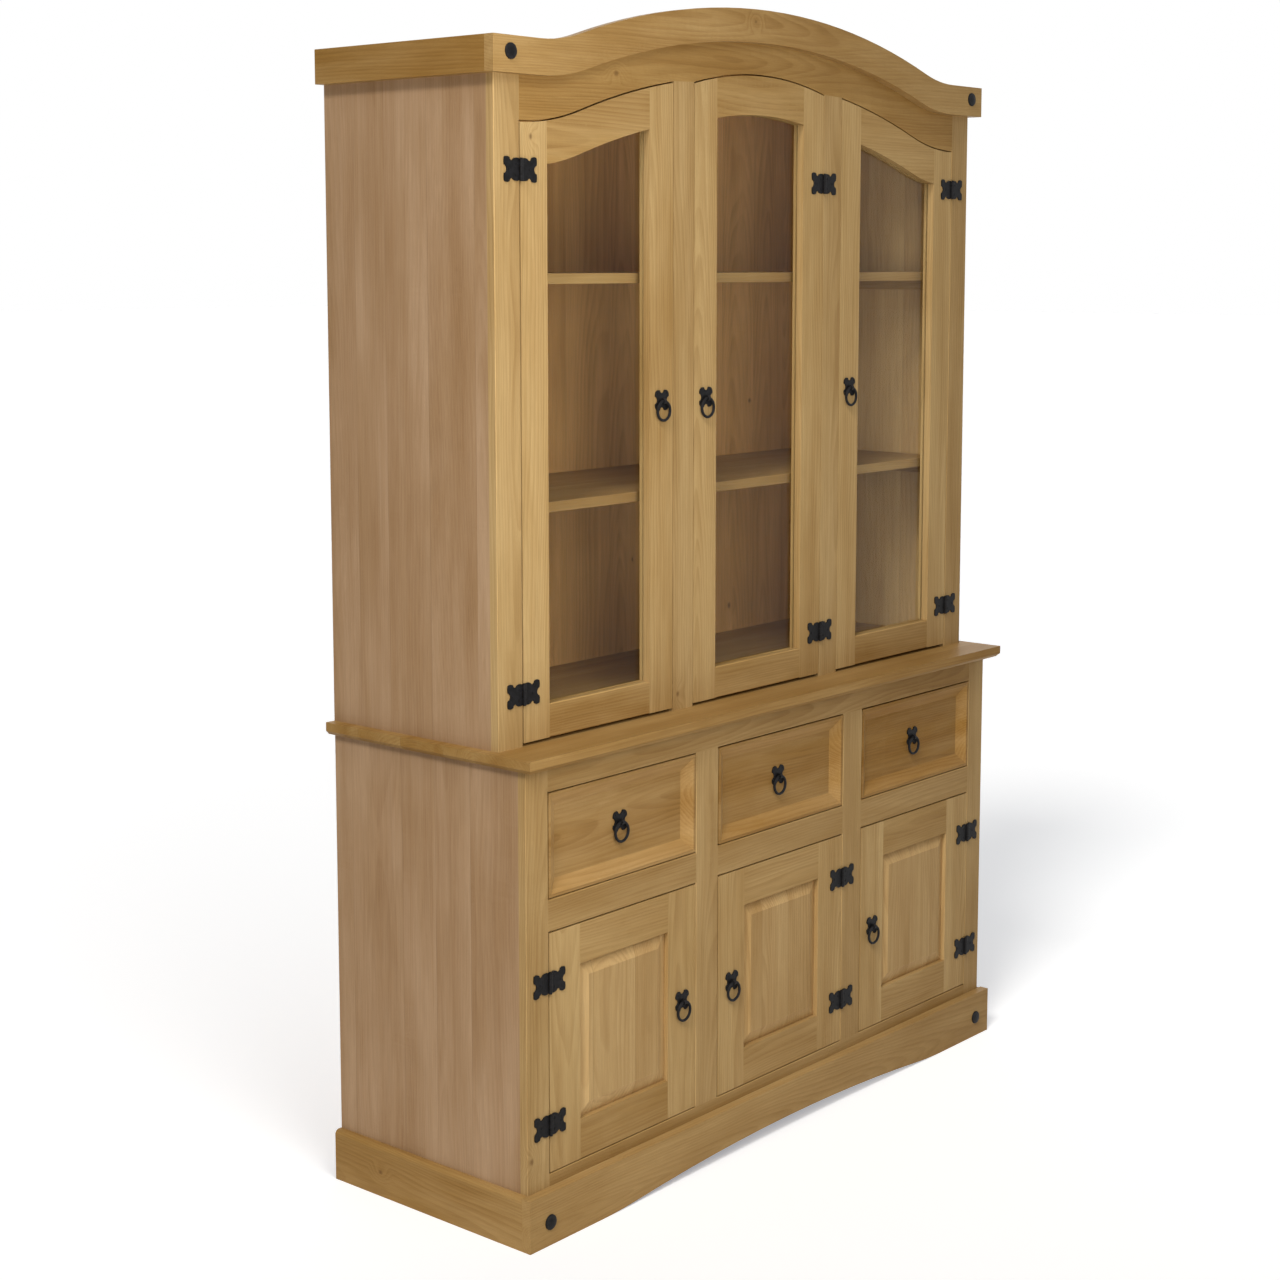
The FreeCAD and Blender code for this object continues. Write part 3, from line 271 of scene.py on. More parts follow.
class StageSettings(bpy.types.PropertyGroup):
    """Camera, floor and lights."""

    camera_place: FloatVectorProperty(
        name="Camera", description="Where the camera stands", subtype="TRANSLATION", unit="LENGTH",
        default=(-2.9841, -2.4124, 1.4917))
    camera_turn: FloatProperty(
        name="Turn", description="How far the camera turns from the front to the right", unit="ROTATION",
        default=math.radians(49.63))
    camera_tilt: FloatProperty(
        name="Tilt", description="How far the camera tilts down", unit="ROTATION", default=math.radians(6.86))
    lens: FloatProperty(name="Lens", description="Focal length in millimetres", min=10, max=300, default=62.15)
    lens_drop: FloatProperty(
        name="Lens drop", description="Downward shift of the lens as a share of the frame", min=0, max=0.5,
        default=0.085)
    floor_colour: FloatVectorProperty(
        name="Floor", description="Colour of the floor", subtype="COLOR", min=0, max=1, default=(0.88, 0.88, 0.88))
    floor_white: FloatProperty(
        name="Floor white", description="Brightness of the floor where no shadow falls", min=0, max=2, default=1.03)
    floor_reach: FloatProperty(
        name="Floor reach", description="How far the floor goes on all sides", unit="LENGTH", min=1, default=60)
    high_lamp_place: FloatVectorProperty(
        name="High lamp", description="Where the round lamp over the front hangs", subtype="TRANSLATION",
        unit="LENGTH", default=(-1.2, -1.2, 2.5))
    high_lamp_power: FloatProperty(
        name="High lamp power", description="Power of the lamp over the front", unit="POWER", min=0, default=45)
    high_lamp_colour: FloatVectorProperty(
        name="High lamp colour", description="Colour of the lamp over the front", subtype="COLOR", min=0, max=1,
        default=(0.98, 0.99, 1.0))
    low_lamp_place: FloatVectorProperty(
        name="Low lamp", description="Where the round lamp before the drawers stands", subtype="TRANSLATION",
        unit="LENGTH", default=(-1.06, -1.28, 1.36))
    low_lamp_power: FloatProperty(
        name="Low lamp power", description="Power of the lamp before the drawers", unit="POWER", min=0,
        default=43.5)
    low_lamp_colour: FloatVectorProperty(
        name="Low lamp colour", description="Colour of the lamp before the drawers", subtype="COLOR", min=0, max=1,
        default=(1.0, 0.97, 0.89))
    lamp_radius: FloatProperty(
        name="Lamp radius", description="Radius of the round lamps", unit="LENGTH", min=0.01, max=1, default=0.45)
    key_direction: FloatVectorProperty(
        name="Key direction", description="Direction towards the light from the left", subtype="DIRECTION",
        default=(-0.8, -0.26, 0.8))
    key_strength: FloatProperty(
        name="Key", description="Strength of the light from the left", min=0, max=10, default=1.5)
    key_colour: FloatVectorProperty(
        name="Key colour", description="Colour of the light from the left", subtype="COLOR", min=0, max=1,
        default=(1.0, 0.975, 0.93))
    key_spread: FloatProperty(
        name="Key spread", description="Angle that the light from the left fills", unit="ROTATION",
        default=math.radians(14))
    fill_direction: FloatVectorProperty(
        name="Fill direction", description="Direction towards the light behind the right end", subtype="DIRECTION",
        default=(0.7, 0.6, 0.4))
    fill_strength: FloatProperty(
        name="Fill", description="Strength of the light behind the right end", min=0, max=10, default=0.5)
    fill_spread: FloatProperty(
        name="Fill spread", description="Angle that the light behind the right end fills", unit="ROTATION",
        default=math.radians(70))
    sky_strength: FloatProperty(
        name="Sky", description="Strength of the light from all round", min=0, max=3, default=0.1)
    sky_colour: FloatVectorProperty(
        name="Sky colour", description="Colour of the light from all round", subtype="COLOR", min=0, max=1,
        default=(1.0, 0.95, 0.87))


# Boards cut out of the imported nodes

class Board:
    """One solid of a node: its points, its triangles and its box."""

    def __init__(self, points, triangles):
        self.points = points
        self.triangles = triangles
        self.low = points.min(0)
        self.high = points.max(0)
        self.middle = (self.low + self.high) / 2
        self.tree = BVHTree.FromPolygons(points.tolist(), triangles.tolist())

    def meets(self, other, gap=0.0002):
        """Whether two boxes touch."""
        return bool((self.low - gap <= other.high).all() and (other.low - gap <= self.high).all())

    def carries(self, point, gap=0.00012):
        """Whether a point lies on the surface."""
        return self.tree.find_nearest(point, gap)[0] is not None


def welded(node):
    """Points and triangles of a node's mesh, where points that lie on each other are one."""
    mesh = frame["nodes"][node].data
    mesh.calc_loop_triangles()
    points = np.empty(len(mesh.vertices) * 3)
    mesh.vertices.foreach_get("co", points)
    corners = np.empty(len(mesh.loop_triangles) * 3, np.int64)
    mesh.loop_triangles.foreach_get("vertices", corners)
    points, place = np.unique(np.round(points.reshape(-1, 3), 6), axis=0, return_inverse=True)
    triangles = place.reshape(-1)[corners].reshape(-1, 3)
    first, second, third = triangles.T
    return points, triangles[(first != second) & (second != third) & (third != first)]


def solids_of(node):
    """Splits a node's mesh into its closed solids, which may touch each other."""
    points, triangles = welded(node)
    if not len(triangles):
        raise RuntimeError(f"node {node} has no surface")
    sides = {}
    for index, (a, b, c) in enumerate(triangles.tolist()):
        for pair in ((a, b), (b, c), (c, a)):
            sides.setdefault((min(pair), max(pair)), []).append(index)
    root = list(range(len(triangles)))

    def find(index):
        while root[index] != index:
            root[index] = root[root[index]]
            index = root[index]
        return index

    # A side that two touching solids share has four triangles and joins nothing
    for owners in sides.values():
        if len(owners) == 2:
            root[find(owners[0])] = find(owners[1])
    groups = {}
    for index in range(len(triangles)):
        groups.setdefault(find(index), []).append(index)
    boards = []
    for members in groups.values():
        used, local = np.unique(triangles[members], return_inverse=True)
        boards.append(Board(points[used], local.reshape(-1, 3)))
    return sorted(boards, key=lambda board: tuple(np.round(board.low, 4)))


SOLIDS = {node: solids_of(node) for node in frame["nodes"]}


def touching(node, board):
    """Boards of the same material and body that a board touches."""
    pine = SLOT_OF[node].startswith("pine")
    return [
        other for name, others in SOLIDS.items()
        if BODY_OF[name] == BODY_OF[node] and SLOT_OF[name].startswith("pine") == pine
        for other in others if other is not board and board.meets(other)
    ]


def joint_planes(board, neighbours, width):
    """Axis and level of the neighbours' ends, where edges of a board pass from glued to free."""
    planes = set()
    for other in neighbours:
        for axis in range(3):
            for level in (other.low[axis], other.high[axis]):
                if board.low[axis] + JOINT_CLEAR * width < level < board.high[axis] - JOINT_CLEAR * width:
                    planes.add((axis, round(float(level), 5)))
    return sorted(planes)


def free_edges(bm, neighbours, sharp):
    """Sharp edges that lie on no neighbour."""
    free = []
    for edge in bm.edges:
        if len(edge.link_faces) == 2 and edge.calc_face_angle() > sharp:
            middle = (edge.verts[0].co + edge.verts[1].co) / 2
            if not any(other.carries(middle) for other in neighbours):
                free.append(edge)
    return free


def wear_and_highlight_share(vert, rounded, slope_wear_and_highlight):
    """How far a point is lightened, partly as rubbed wear and partly as painted highlight: fully on rounded edges, and
    on sloping faces by the share given for them.
    """
    flat = [face for face in vert.link_faces if face not in rounded]
    sloping = any(max(map(abs, face.normal)) < SLOPE for face in flat)
    return slope_wear_and_highlight if flat and sloping else float(not flat)


def corner_normal(face, vert, rounded, sharp):
    """Normal of a face's corner, from the faces round it that it passes into smoothly."""
    flat = [near for near in vert.link_faces if near not in rounded]
    if face in rounded:
        close = [near for near in flat if near.normal.angle(face.normal, 0) < ROUND_REACH]
        close = close or [near for near in vert.link_faces if near in rounded]
    else:
        close = [near for near in flat if near.normal.angle(face.normal, 0) < sharp]
    normal = sum((near.normal * near.calc_area() for near in close), Vector())
    return tuple(normal.normalized() if normal.length > 0 else face.normal)


def eased(board, neighbours, width, sharp, slope_wear_and_highlight):
    """A board with its free edges rounded: points, faces, corner normals and how far each point is lightened as rubbed
    wear and painted highlight.
    Edges that lie on a neighbour are glued joints and stay square."""
    bm = bmesh.new()
    verts = [bm.verts.new(point) for point in board.points]
    for triangle in board.triangles:
        bm.faces.new([verts[index] for index in triangle])
    bmesh.ops.dissolve_limit(bm, angle_limit=FLAT_ANGLE, use_dissolve_boundaries=False, verts=bm.verts[:],
                             edges=bm.edges[:])
    for axis, level in joint_planes(board, neighbours, width):
        normal = Vector([float(axis == index) for index in range(3)])
        bmesh.ops.bisect_plane(bm, geom=bm.verts[:] + bm.edges[:] + bm.faces[:], dist=1e-6,
                               plane_co=normal * level, plane_no=normal)
    bm.normal_update()
    free = free_edges(bm, neighbours, sharp)
    rounded = set()
    if free and width > 0:
        made = bmesh.ops.bevel(bm, geom=free, offset=width, offset_type="OFFSET", segments=2, profile=0.5,
                               affect="EDGES", clamp_overlap=True, loop_slide=True)
        rounded = set(made["faces"])
    bm.normal_update()
    bm.verts.index_update()
    points = [tuple(vert.co) for vert in bm.verts]
    faces = [[vert.index for vert in face.verts] for face in bm.faces]
    normals = [corner_normal(face, vert, rounded, sharp) for face in bm.faces for vert in face.verts]
    # Rounded edges and sloping faces are lightened: partly rubbed wear, partly painted highlight where light would
    # catch them
    worn = [wear_and_highlight_share(vert, rounded, slope_wear_and_highlight) for vert in bm.verts]
    bm.free()
    return points, faces, normals, worn


def grain_of(node, number, board, points, strip):
    """Places along, across and through the grain of a board, and its tint, strip width and seed."""
    size = board.high - board.low
    along = GRAIN_AXIS.get(node, int(size.argmax()))
    thick, across = sorted({0, 1, 2} - {along}, key=lambda axis: size[axis])
    places = (np.array(points) - board.middle)[:, [along, across, thick]]
    seed = zlib.crc32(f"{node} {number}".encode()) % 1000
    scattered = (seed * 37 % 101) / 50 - 1
    tint = BOARD_SPREAD * scattered + BOARD_TINT - DEEPER.get(node, 0.0)
    if along < 2 and SLOT_OF[node] != "pine_inside":
        tint -= 2 * bpy.context.scene.hutch_pine.rail_depth
    return places.tolist(), (tint, strip, seed / 10)


def linked(name, data):
    """A new object in the scene."""
    thing = bpy.data.objects.new(name, data)
    bpy.context.scene.collection.objects.link(thing)
    return thing


def dressed(node, name, material, width, strip=None):
    """A piece that stands for a node: its boards with rounded edges, and for wood the grain of each board."""
    points, faces, normals, worn, grain, build, inner = [], [], [], [], [], [], []
    sharp = IRON_CURVE if strip is None else PINE_CURVE
    for number, board in enumerate(SOLIDS[node]):
        own_points, own_faces, own_normals, own_wear_and_highlight = eased(
            board, touching(node, board), width, sharp, SLOPE_WEAR_AND_HIGHLIGHT.get(SLOT_OF[node], 0.0))
        faces += [[index + len(points) for index in face] for face in own_faces]
        points += own_points
        normals += own_normals
        worn += own_wear_and_highlight
        if strip is not None:
            places, cut = grain_of(node, number, board, own_points, strip)
            grain += places
            build += [cut] * len(places)
            # Points on the inward faces of the sides, which the finish paints lighter as painted light in the bays
            inner += [float(node in SIDES and abs(point[0]) < abs(board.middle[0])) for point in own_points]
    mesh = bpy.data.meshes.new(name)
    mesh.from_pydata(points, [], faces, shade_flat=False)
    mesh.normals_split_custom_set(normals)
    values = {"worn": ("FLOAT", "value", worn)}
    if strip is not None:
        values["grain"] = ("FLOAT_VECTOR", "vector", grain)
        values["build"] = ("FLOAT_VECTOR", "vector", build)
        values["inner"] = ("FLOAT", "value", inner)
    for label, (kind, field, data) in values.items():
        mesh.attributes.new(label, kind, "POINT").data.foreach_set(field, np.array(data, np.float32).ravel())
    mesh.materials.append(material)
    piece = linked(name, mesh)
    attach(piece, BODY_OF[node])
    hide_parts(node)
    return piece


# Node trees

class Value:
    """What a socket of a node tree carries, so that sums of numbers are written as sums."""

    def __init__(self, socket):
        self.socket = socket

    def by(self, operation, *others):
        """Result of a Math node that takes this number first."""
        return maths(self.socket.id_data, operation, self, *others)

    def __add__(self, other):
        return self.by("ADD", other)

    def __sub__(self, other):
        return self.by("SUBTRACT", other)

    def __rsub__(self, other):
        return maths(self.socket.id_data, "SUBTRACT", other, self)

    def __mul__(self, other):
        return self.by("MULTIPLY", other)

    def __truediv__(self, other):
        return self.by("DIVIDE", other)


def fill(node, inputs):
    """Fills a node's inputs with plain values or links."""
    for key, value in dict(inputs).items():
        if isinstance(value, Value):
            value = value.socket
        if isinstance(value, bpy.types.NodeSocket):
            node.id_data.links.new(value, node.inputs[key])
        else:
            node.inputs[key].default_value = value


def put(tree, kind, inputs=(), **settings):
    """Adds a node, sets its options and fills its inputs."""
    node = tree.nodes.new(kind)
    for name, value in settings.items():
        setattr(node, name, value)
    fill(node, inputs)
    return node


def carried(node):
    """What a node puts out, by name."""
    return {socket.name: Value(socket) for socket in node.outputs}


def maths(tree, operation, *values):
    """Result of a Math node."""
    return Value(put(tree, "ShaderNodeMath", enumerate(values), operation=operation).outputs[0])


def vector_maths(tree, operation, *values):
    """Result of a Vector Math node."""
    return Value(put(tree, "ShaderNodeVectorMath", enumerate(values), operation=operation).outputs[0])


def parts(tree, vector):
    """The three numbers of a vector."""
    return [Value(socket) for socket in put(tree, "ShaderNodeSeparateXYZ", {0: vector}).outputs]


def joined(tree, *numbers):
    """A vector of up to three numbers."""
    return Value(put(tree, "ShaderNodeCombineXYZ", enumerate(numbers)).outputs[0])


def channels(tree, colour):
    """The red, green and blue of a colour."""
    return [Value(socket) for socket in put(tree, "ShaderNodeSeparateColor", {0: colour}).outputs]


def mixed(tree, factor, first, second, kind="MIX"):
    """Result of mixing two colours."""
    node = put(tree, "ShaderNodeMix", {0: factor, 6: first, 7: second}, data_type="RGBA", blend_type=kind)
    return Value(node.outputs[2])


def times(tree, colour, scale):
    """A colour times plain numbers."""
    return mixed(tree, 1.0, colour, (*scale, 1), "MULTIPLY")


def ease_between(tree, value, start, stop, low=0.0, high=1.0):
    """Value carried smoothly from one range to another."""
    return Value(put(tree, "ShaderNodeMapRange", {0: value, 1: start, 2: stop, 3: low, 4: high},
                     interpolation_type="SMOOTHSTEP").outputs[0])


def noise(tree, vector, scale, detail, roughness=0.5):
    """Noise with a scale of its own on each axis."""
    return put(tree, "ShaderNodeTexNoise", {
        "Vector": vector_maths(tree, "MULTIPLY", vector, scale), "Scale": 1.0, "Detail": detail,
        "Roughness": roughness})


def group(kind, name, inputs, outputs):
    """Empty node group with named sockets, and what it is given through them."""
    tree = bpy.data.node_groups.new(name, kind)
    for label, socket_kind, default in inputs:
        socket = tree.interface.new_socket(label, in_out="INPUT", socket_type=f"NodeSocket{socket_kind}")
        if default is not None:
            socket.default_value = default
    for label, socket_kind in outputs:
        tree.interface.new_socket(label, in_out="OUTPUT", socket_type=f"NodeSocket{socket_kind}")
    return tree, carried(put(tree, "NodeGroupInput"))


def shared(name, maker):
    """A node group that is made the first time it is asked for."""
    return bpy.data.node_groups.get(name) or maker()


# Shader groups

def strip_group():
    """Splits a glued-up board into strips, each with its own cut from the log and its own tint."""
    tree, given = group(
        "ShaderNodeTree", "Glued strips", [("Grain", "Vector", None), ("Build", "Vector", None)],
        [("Grain", "Vector"), ("Tint", "Float"), ("Seam", "Float")])
    along, across, through = parts(tree, given["Grain"])
    _, width, seed = parts(tree, given["Build"])
    share = across / width
    share = share + (share * SWAY_PITCH + seed).by("SINE") * STRIP_SWAY + seed.by("FRACT")
    strip = share.by("FLOOR")
    inside = share - strip - 0.5
    lone = width.by("GREATER_THAN", WIDEST_STRIP)
    glued = 1.0 - lone
    dice = carried(put(tree, "ShaderNodeTexWhiteNoise", {0: joined(tree, strip * glued, seed)}, noise_dimensions="2D"))
    first, second, third = channels(tree, dice["Color"])
    within = put(tree, "ShaderNodeMix", {0: lone, 2: inside * width, 3: across}, data_type="FLOAT").outputs[0]
    depth = third * PITH_DEPTHS + PITH_NEAREST + along * ((second - 0.5) * PITH_LEAN)
    edge = (0.5 - inside.by("ABSOLUTE")) * width
    put(tree, "NodeGroupOutput", {
        "Grain": joined(tree, dice["Value"] * LOG_LENGTH + along, Value(within) + (first - 0.5) * PITH_ACROSS,
                        through + depth),
        "Tint": second + third - 1.0,
        "Seam": ease_between(tree, edge, 0.0, SEAM_WIDTH, 1.0, 0.0) * glued})
    return tree


def figure_group():
    """Growth rings, streaks, fibres and knots of pine about a pith along the grain."""
    tree, given = group(
        "ShaderNodeTree", "Pine figure", [("Grain", "Vector", None), ("Ring spacing", "Float", 0.004)],
        [("Ring", "Float"), ("Streak", "Float"), ("Cloud", "Float"), ("Fibre", "Float"), ("Knot", "Float")])
    grain = given["Grain"]
    along, across, through = parts(tree, grain)
    # Knots: a few cells hold one, and the rings bend round it
    cells = carried(put(tree, "ShaderNodeTexVoronoi", {
        "Vector": vector_maths(tree, "MULTIPLY", grain, KNOT_CELLS), "Scale": 1.0},
        voronoi_dimensions="2D", feature="F1"))
    luck, size, _ = channels(tree, cells["Color"])
    centre_along, centre_across, _ = parts(tree, cells["Position"])
    off_along = along - centre_along / KNOT_CELLS[0]
    off_across = (across - centre_across / KNOT_CELLS[1]) * KNOT_NARROWING
    away = (off_along * off_along + off_across * off_across).by("SQRT")
    present = luck.by("GREATER_THAN", KNOT_LUCK)
    radius = size * KNOT_SPREAD + KNOT_LEAST
    knot = ease_between(tree, away, radius, radius * KNOT_CORE) * present
    swirl = ease_between(tree, away, 0.0, SWIRL_REACH, SWIRL, 0.0) * present
    # Rings: distance from a wandering pith, in years of uneven growth
    drift = channels(tree, noise(tree, grain, WANDER, 2.0).outputs["Color"])
    across = across + (drift[0] - 0.5) * WANDER_ACROSS
    depth = through + (drift[1] - 0.5) * WANDER_DEPTH
    reach = (across * across + depth * depth).by("SQRT") + swirl
    years = put(tree, "ShaderNodeTexNoise", {"W": reach * YEARS_PITCH, "Scale": 1.0, "Detail": 1.0},
                noise_dimensions="1D")
    turn = (reach / given["Ring spacing"] + Value(years.outputs[0]) * YEARS_SWAY).by("FRACT")
    ring = ease_between(tree, turn, *RING_DARKENS) - ease_between(tree, turn, *RING_ENDS)
    streak = noise(tree, grain, STREAKS, 4.0, 0.62).outputs[0]
    put(tree, "NodeGroupOutput", {
        "Ring": ring * ease_between(tree, streak, 0.25, 0.75, FAINT_RING, 1.0), "Streak": streak, "Knot": knot,
        "Cloud": noise(tree, grain, CLOUDS, 3.0, 0.55).outputs[0],
        "Fibre": noise(tree, grain, FIBRES, 2.0, 0.6).outputs[0]})
    return tree


def wax_group():
    """Colour, roughness and height of waxed pine from its figure, its strip, and its rounded edges and sloping faces,
    which are lightened partly as rubbed wax and partly as painted highlight.
    """
    tree, given = group(
        "ShaderNodeTree", "Waxed pine",
        [("Pine", "Color", (0.5, 0.33, 0.14, 1)), ("Latewood", "Float", 0.4), ("Roughness", "Float", 0.45),
         ("Ring", "Float", 0), ("Streak", "Float", 0.5), ("Cloud", "Float", 0.5), ("Fibre", "Float", 0.5),
         ("Knot", "Float", 0), ("Board tint", "Float", 0), ("Strip tint", "Float", 0), ("Seam", "Float", 0),
         ("Worn", "Float", 0)],
        [("Color", "Color"), ("Roughness", "Float"), ("Height", "Float")])
    pine, ring, streak, fibre, seam = (given[name] for name in ("Pine", "Ring", "Streak", "Fibre", "Seam"))
    colour = mixed(tree, ring * given["Latewood"], times(tree, pine, EARLYWOOD), times(tree, pine, LATEWOOD))
    streaks = ease_between(tree, streak, *NOISE_MIDDLE) * STREAK_SHADE
    colour = mixed(tree, streaks, colour, times(tree, colour, STREAKED))
    # From deep to light, and straight on for the deepest boards
    tints = given["Strip tint"] * STRIP_SHADE + given["Board tint"]
    tints = tints + ease_between(tree, given["Cloud"], *NOISE_MIDDLE, -CLOUD_SHADE, CLOUD_SHADE)
    steps = (tints * 0.5 + 0.5).by("MINIMUM", 1.0)
    scale = vector_maths(tree, "MULTIPLY_ADD", steps, LIGHT - DEEP, DEEP)
    scale = vector_maths(tree, "MAXIMUM", scale, DEEPEST)
    colour = mixed(tree, 1.0, colour, scale, "MULTIPLY")
    bright = ease_between(tree, fibre, 0.3, 0.7, FIBRE_LIGHT, FIBRE_DARK) * (seam * -SEAM_SHADE + 1.0)
    colour = put(tree, "ShaderNodeVectorMath", {0: colour, "Scale": bright}, operation="SCALE").outputs[0]
    colour = mixed(tree, given["Knot"] * KNOT_SHADE, colour, KNOT)
    # Rounded edges and sloping faces are lightened: partly rubbed wax, partly painted highlight
    colour = mixed(tree, given["Worn"] * WEAR_HIGHLIGHT_SHADE, colour, times(tree, colour, RUBBED_AND_HIGHLIT))
    put(tree, "NodeGroupOutput", {
        "Color": colour,
        "Roughness": given["Roughness"] + (streak - 0.5) * STREAK_ROUGH - ring * RING_ROUGH,
        "Height": ring * RING_RISE + fibre * FIBRE_RISE - seam * SEAM_DROP})
    return tree


def forged_group():
    """Colour, roughness and height of black iron with a hammered skin, and edges lightened partly as rubbed finish and
    partly as painted highlight.
    """
    tree, given = group(
        "ShaderNodeTree", "Black iron",
        [("Place", "Vector", None), ("Iron", "Color", (0.012, 0.012, 0.012, 1)),
         ("Worn iron", "Color", (0.07, 0.07, 0.07, 1)), ("Roughness", "Float", 0.4), ("Worn", "Float", 0)],
        [("Color", "Color"), ("Roughness", "Float"), ("Height", "Float")])
    place, black = given["Place"], given["Iron"]
    dents = put(tree, "ShaderNodeTexVoronoi", {"Vector": place, "Scale": DENTS, "Smoothness": 0.7},
                feature="SMOOTH_F1").outputs[0]
    grit = put(tree, "ShaderNodeTexNoise", {"Vector": place, "Scale": GRIT, "Detail": 3.0}).outputs[0]
    blotch = put(tree, "ShaderNodeTexNoise", {"Vector": place, "Scale": BLOTCHES, "Detail": 3.0}).outputs[0]
    colour = mixed(tree, ease_between(tree, blotch, 0.35, 0.7), black, times(tree, black, BLOTCH_LIGHT))
    # Rounded edges and sloping faces take the lighter colour: partly rubbed finish, partly painted highlight
    iron_wear_highlight = given["Worn"] * ease_between(tree, grit, 0.35, 0.65)
    put(tree, "NodeGroupOutput", {
        "Color": mixed(tree, iron_wear_highlight, colour, given["Worn iron"]),
        "Roughness": (Value(blotch) - 0.5) * BLOTCH_ROUGH + given["Roughness"],
        "Height": Value(dents) + Value(grit) * GRIT_RISE})
    return tree


# Materials

def fresh_material(name):
    """Empty material with its output and Principled BSDF."""
    material = bpy.data.materials.new(name)
    material.use_nodes = True
    tree = material.node_tree
    tree.nodes.clear()
    shader = put(tree, "ShaderNodeBsdfPrincipled")
    out = put(tree, "ShaderNodeOutputMaterial", {"Surface": shader.outputs[0]})
    return material, tree, shader, out


def pine(finish):
    """Waxed pine of one finish."""
    name = finish.replace("_", " ")
    if name in bpy.data.materials:
        return bpy.data.materials[name]
    settings = bpy.context.scene.hutch_pine
    material, tree, shader, _ = fresh_material(name)
    grain, build, worn = (carried(put(tree, "ShaderNodeAttribute", attribute_name=label))
                          for label in ("grain", "build", "worn"))
    strips = carried(put(tree, "ShaderNodeGroup", {"Grain": grain["Vector"], "Build": build["Vector"]},
                         node_tree=shared("Glued strips", strip_group)))
    figure = carried(put(tree, "ShaderNodeGroup", {"Grain": strips["Grain"], "Ring spacing": settings.ring_spacing},
                         node_tree=shared("Pine figure", figure_group)))
    colour = (*getattr(settings, finish.replace("pine_", "") + "_colour"), 1)
    calm = 1.0
    if finish == "pine_side":
        calm = settings.side_calm
        # Inward faces of the sides take a lighter, yellower colour: painted light in the bays
        inner = put(tree, "ShaderNodeAttribute", attribute_name="inner").outputs["Fac"]
        colour = mixed(tree, inner, colour, (*settings.lining_colour, 1))
    wax = carried(put(tree, "ShaderNodeGroup", {
        **figure, "Pine": colour, "Latewood": settings.latewood * calm, "Roughness": settings.roughness,
        "Board tint": parts(tree, build["Vector"])[0], "Strip tint": strips["Tint"] * calm,
        "Seam": strips["Seam"], "Worn": worn["Fac"]}, node_tree=shared("Waxed pine", wax_group)))
    bump = put(tree, "ShaderNodeBump", {"Height": wax["Height"], "Strength": 0.3, "Distance": GRAIN_HEIGHT})
    fill(shader, {"Base Color": wax["Color"], "Roughness": wax["Roughness"], "Normal": bump.outputs[0],
                  "Specular IOR Level": settings.shine})
    return material


def iron():
    """Black iron of the hinges, pulls and studs."""
    if "black iron" in bpy.data.materials:
        return bpy.data.materials["black iron"]
    settings = bpy.context.scene.hutch_iron
    material, tree, shader, _ = fresh_material("black iron")
    forged = carried(put(tree, "ShaderNodeGroup", {
        "Place": put(tree, "ShaderNodeTexCoord").outputs["Object"], "Iron": (*settings.colour, 1),
        "Worn iron": (*settings.worn_colour, 1), "Roughness": settings.roughness,
        "Worn": put(tree, "ShaderNodeAttribute", attribute_name="worn").outputs["Fac"]},
        node_tree=shared("Black iron", forged_group)))
    bump = put(tree, "ShaderNodeBump", {"Height": forged["Height"], "Strength": 0.35, "Distance": DENT_HEIGHT})
    fill(shader, {"Base Color": forged["Color"], "Roughness": forged["Roughness"], "Normal": bump.outputs[0],
                  "Specular IOR Level": settings.shine})
    return material


def glass():
    """Clear pane that lets lamp light through to the shelves behind it."""
    if "clear pane" in bpy.data.materials:
        return bpy.data.materials["clear pane"]
    settings = bpy.context.scene.hutch_glass
    material, tree, shader, out = fresh_material("clear pane")
    place = put(tree, "ShaderNodeTexCoord").outputs["Object"]
    wiped = ease_between(tree, noise(tree, place, WIPED, 3.0).outputs[0], 0.4, 0.75)
    smeared = (*(settings.smears * part for part in settings.tint), 1)
    fill(shader, {"Base Color": mixed(tree, wiped, (*settings.tint, 1), smeared), "Roughness": 0.0,
                  "IOR": settings.bending, "Transmission Weight": 1.0})
    clear = put(tree, "ShaderNodeBsdfTransparent", {0: (*settings.tint, 1)})
    rays = carried(put(tree, "ShaderNodeLightPath"))
    mirrored = rays["Is Glossy Ray"] - rays["Is Transmission Ray"]
    passed = mirrored.by("MAXIMUM", rays["Is Shadow Ray"].by("MAXIMUM", rays["Is Diffuse Ray"]))
    both = put(tree, "ShaderNodeMixShader", {0: passed, 1: shader.outputs[0], 2: clear.outputs[0]})
    fill(out, {"Surface": both.outputs[0]})
    return material


# Screws and nails

